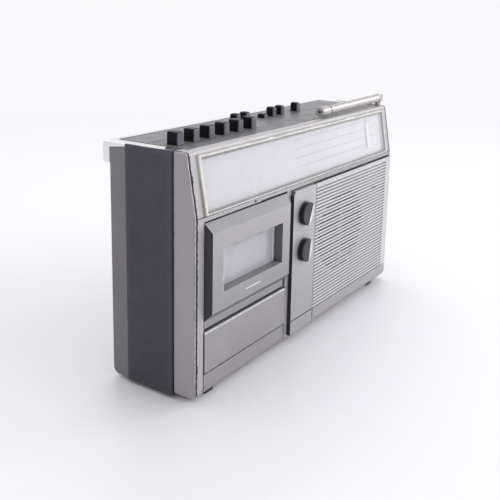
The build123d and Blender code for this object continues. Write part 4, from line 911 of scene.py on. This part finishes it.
@dataclass
class TapeDeck(Assembly):
    """Cassette door, holder and the mechanism behind them."""

    dash_left: float = -114.6 * MM
    dash_right: float = -93.5 * MM
    dash_height: float = 78.65 * MM
    dash_tall: float = 0.9 * MM
    dash_thick: float = 0.2 * MM
    dash_sink: float = 0.1 * MM
    dash_bevel: float = 0.07 * MM
    finishes: dict[str, AnyFinish] = field(
        default_factory=lambda: {
            "cassette_door": SILVER_DOOR, "door_pane": PANE_CLEAR, "cassette_holder": STEEL,
            "door_hinge_rod": STEEL, "deck_plate": STEEL, "drive_motor": STEEL, "drive_belt": RUBBER,
            "tape_heads": STEEL, "flywheel": BRASS, "motor_pulley": BRASS, "pinch_roller": RUBBER,
            "supply_spindle": WHITE, "take_up_spindle": WHITE,
        }
    )

    def build(self, dresser: Dresser) -> None:
        """Model the plain raised dash under the door's window.

        Args:
            dresser: Holds the materials.
        """
        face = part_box("cassette_door")[0][1]
        middle = ((self.dash_left + self.dash_right) / 2, face + self.dash_sink - self.dash_thick / 2, self.dash_height)
        bpy.ops.object.select_all(action="DESELECT")
        bpy.ops.mesh.primitive_cube_add(size=1.0, location=middle)
        piece = bpy.context.object
        piece.scale = (self.dash_right - self.dash_left, self.dash_thick, self.dash_tall)
        start_edit(piece)
        bpy.ops.mesh.bevel(offset=self.dash_bevel, offset_type="OFFSET", segments=BEVEL_STEPS, affect="EDGES")
        end_edit(piece, "door_dash", "door", dresser.material(PRINT))


@dataclass
class Controls(Assembly):
    """Knobs, keys and buttons."""

    keys: tuple[str, ...] = ("record", "play", "rewind", "forward", "stop", "pause")
    buttons: tuple[str, ...] = ("tone", "afc", "long_wave", "medium_wave", "fm", "radio_tape")
    knob_radius: float = 10.6 * MM
    facet_start: float = 2.5 * MM
    facet_tilt: float = 27.0
    facet_turns: dict[str, float] = field(default_factory=lambda: {"tuning": 22.8, "volume": 9.0})
    inlay_margin: float = 0.3 * MM
    inlay_seat: float = 0.25 * MM
    inlay_tilt: float = 15.0

    @property
    def finishes(self) -> dict[str, AnyFinish]:
        """Finish of each node.

        Returns:
            Finish for each node's name.
        """
        names = [f"{key}_key" for key in self.keys] + [f"{button}_button" for button in self.buttons]
        pressed = {name: KEY_BLACK for name in names}
        return {**pressed, "tuning_knob": BLACK, "volume_knob": BLACK, "switch_bank": SOCKET}

    def build_inlay(self, body: str, turn: float, material: bpy.types.Material) -> None:
        """Bright wedge on the slanted facet of one knob.

        Args:
            body: The knob's body; its node has the same name with _knob.
            turn: How far the facet is turned down from the right, in degrees.
            material: The wedge's finish.
        """
        low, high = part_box(f"{body}_knob")
        centre = Vector(((low[0] + high[0]) / 2, low[1], (low[2] + high[2]) / 2))
        turned = math.radians(turn)
        across = Vector((math.cos(turned), 0.0, -math.sin(turned)))
        facet, cover = (
            across * math.sin(math.radians(tilt)) + Vector((0.0, -math.cos(math.radians(tilt)), 0.0))
            for tilt in (self.facet_tilt, self.inlay_tilt)
        )
        crest = centre + across * self.facet_start
        bpy.ops.object.select_all(action="DESELECT")
        bpy.ops.mesh.primitive_cylinder_add(
            vertices=KNOB_SIDES, radius=self.knob_radius - self.inlay_margin, depth=4 * self.knob_radius,
            location=centre, rotation=(math.pi / 2, 0.0, 0.0),
        )
        piece = bpy.context.object
        start_edit(piece)
        cuts = (
            (crest + across * self.inlay_margin, across, True),
            (crest - facet * self.inlay_seat, facet, True),
            (crest, cover, False),
        )
        for place, normal, keep_ahead in cuts:
            bpy.ops.mesh.select_all(action="SELECT")
            bpy.ops.mesh.bisect(
                plane_co=place, plane_no=normal, use_fill=True, clear_inner=keep_ahead, clear_outer=not keep_ahead,
            )
        bpy.ops.mesh.select_all(action="SELECT")
        bpy.ops.mesh.remove_doubles(threshold=0.001 * MM)
        end_edit(piece, f"{body}_knob_inlay", body, material)

    def build(self, dresser: Dresser) -> None:
        """Model the inlays of both knobs."""
        for body, turn in self.facet_turns.items():
            self.build_inlay(body, turn, dresser.material(INLAY))


@dataclass
class Radio(Assembly):
    """Loudspeaker, board, aerial rod, transformer and antenna."""

    finishes: dict[str, AnyFinish] = field(
        default_factory=lambda: {
            "speaker_basket": STEEL, "speaker_cone": PAPER, "speaker_magnet": FERRITE,
            "circuit_board": LAMINATE, "board_components": CANS, "ferrite_rod": FERRITE,
            "mains_transformer": STEEL, "antenna_swivel": NICKEL, "antenna_tube": NICKEL,
            "antenna_section_2": NICKEL, "antenna_section_3": NICKEL, "antenna_tip_section": NICKEL,
        }
    )


@dataclass(frozen=True)
class Lamp:
    """One soft square lamp that faces the object."""

    name: str
    place: Tone
    size: float
    power: float
    aim: Tone = (0.0, 0.0, 0.1)


@dataclass
class Studio:
    """Pale floor, white surround, soft lamps and the camera."""

    camera_place: Tone = (-0.58535, -0.36511, 0.30187)
    yaw: float = 55.94
    pitch: float = 12.02
    roll: float = 1.07
    lens: float = 54.39
    shift: tuple[float, float] = (0.0069, -0.1733)
    floor_half: float = 6.0
    floor_tone: Tone = (0.85, 0.84, 0.885)
    white: Tone = (0.945, 0.945, 0.965)
    surround: float = 0.76
    sensor: float = 36.0
    near_clip: float = 0.01
    floor_specular: float = 0.3
    floor_rough: tuple[float, float] = (0.28, 0.34)
    floor_cloud: float = 1.2
    fade: tuple[float, float] = (0.35, 1.6)
    lamps: tuple[Lamp, ...] = (
        Lamp("overhead", (0.35, 0.5, 1.5), size=1.6, power=9.0),
        Lamp("right_panel", (1.45, -1.0, 0.75), size=0.9, power=9.0),
        Lamp("front", (0.5, -1.9, 1.1), size=1.2, power=11.0),
    )

    def add_camera(self) -> None:
        """Set the camera where the picture was taken from."""
        yaw, pitch, roll = (math.radians(angle) for angle in (self.yaw, self.pitch, self.roll))
        right = Vector((math.cos(yaw), -math.sin(yaw), 0.0))
        ahead = Vector((math.sin(yaw) * math.cos(pitch), math.cos(yaw) * math.cos(pitch), -math.sin(pitch)))
        up = right.cross(ahead)
        right_turned = right * math.cos(roll) + up * math.sin(roll)
        up_turned = up * math.cos(roll) - right * math.sin(roll)
        turn = Matrix((right_turned, up_turned, -ahead)).transposed().to_4x4()
        data = bpy.data.cameras.new("studio_camera")
        data.lens = self.lens
        data.sensor_width = self.sensor
        data.shift_x, data.shift_y = self.shift
        data.clip_start = self.near_clip
        camera = bpy.data.objects.new("studio_camera", data)
        bpy.context.collection.objects.link(camera)
        camera.matrix_world = Matrix.Translation(self.camera_place) @ turn
        bpy.context.scene.camera = camera

    def add_lamp(self, lamp: Lamp) -> None:
        """Hang one lamp and turn it to its aim.

        Args:
            lamp: The lamp's name, place, size in metres and power in watts.
        """
        data = bpy.data.lights.new(lamp.name, "AREA")
        data.shape = "SQUARE"
        data.size = lamp.size
        data.energy = lamp.power
        piece = bpy.data.objects.new(lamp.name, data)
        bpy.context.collection.objects.link(piece)
        way = Vector(lamp.aim) - Vector(lamp.place)
        turn = way.to_track_quat("-Z", "Y").to_matrix().to_4x4()
        piece.matrix_world = Matrix.Translation(lamp.place) @ turn

    def add_surround(self) -> None:
        """White surround: even light, and white where the camera or a mirror sees it."""
        world = bpy.data.worlds.new("studio")
        bpy.context.scene.world = world
        world.use_nodes = True
        nodes, links = world.node_tree.nodes, world.node_tree.links
        nodes.clear()
        output = nodes.new("ShaderNodeOutputWorld")
        mix = nodes.new("ShaderNodeMixShader")
        light = nodes.new("ShaderNodeBackground")
        seen = nodes.new("ShaderNodeBackground")
        path = nodes.new("ShaderNodeLightPath")
        light.inputs["Color"].default_value = (1.0, 1.0, 1.0, 1.0)
        light.inputs["Strength"].default_value = self.surround
        seen.inputs["Color"].default_value = (*self.white, 1.0)
        seen_by = nodes.new("ShaderNodeMath")
        seen_by.operation = "MAXIMUM"
        mirrored = nodes.new("ShaderNodeMath")
        mirrored.operation = "MAXIMUM"
        links.new(path.outputs["Is Glossy Ray"], mirrored.inputs[0])
        links.new(path.outputs["Is Transmission Ray"], mirrored.inputs[1])
        links.new(path.outputs["Is Camera Ray"], seen_by.inputs[0])
        links.new(mirrored.outputs[0], seen_by.inputs[1])
        links.new(seen_by.outputs[0], mix.inputs["Fac"])
        links.new(light.outputs[0], mix.inputs[1])
        links.new(seen.outputs[0], mix.inputs[2])
        links.new(mix.outputs[0], output.inputs["Surface"])

    def add_floor(self) -> None:
        """Pale floor that fades into the white surround."""
        bpy.ops.object.select_all(action="DESELECT")
        bpy.ops.mesh.primitive_plane_add(size=2 * self.floor_half)
        floor = bpy.context.object
        floor.name = "studio_floor"
        bench = NodeBench("studio_floor")
        shader = bench.shader
        shader.inputs["Specular IOR Level"].default_value = self.floor_specular
        cloud = bench.noise(self.floor_cloud, EVEN, 2.0)
        low = tuple(channel * 0.99 for channel in self.floor_tone)
        bench.link(bench.ramp(cloud, [(CLOUD_LOW, low), (CLOUD_HIGH, self.floor_tone)]), shader.inputs["Base Color"])
        bench.link(bench.span(cloud, CLOUD_LOW, CLOUD_HIGH, *self.floor_rough), shader.inputs["Roughness"])
        glow = bench.add("ShaderNodeEmission")
        glow.inputs["Color"].default_value = (*self.white, 1.0)
        length = bench.add("ShaderNodeVectorMath")
        length.operation = "LENGTH"
        bench.link(bench.coords.outputs["Object"], length.inputs[0])
        far = bench.span(length.outputs["Value"], *self.fade)
        path = bench.add("ShaderNodeLightPath")
        seen = bench.math("MAXIMUM", path.outputs["Is Camera Ray"], path.outputs["Is Glossy Ray"])
        mix = bench.add("ShaderNodeMixShader")
        bench.link(bench.math("MULTIPLY", far, seen), mix.inputs["Fac"])
        bench.link(shader.outputs[0], mix.inputs[1])
        bench.link(glow.outputs[0], mix.inputs[2])
        bench.link(mix.outputs[0], bench.output.inputs["Surface"])
        floor.data.materials.append(bench.material)

    def build(self) -> None:
        """Set up the whole studio."""
        bpy.context.scene.view_settings.view_transform = "Standard"
        self.add_surround()
        self.add_floor()
        for lamp in self.lamps:
            self.add_lamp(lamp)
        self.add_camera()


def main() -> None:
    """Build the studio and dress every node."""
    logging.basicConfig(level=logging.INFO, format="%(name)s %(message)s")
    Studio().build()
    dresser = Dresser()
    groups: tuple[Assembly, ...] = (Casing(), Dial(), TapeDeck(), Controls(), Radio())
    for group in groups:
        group.dress(dresser)
    for group in groups:
        group.build(dresser)


if __name__ == "__main__":
    main()
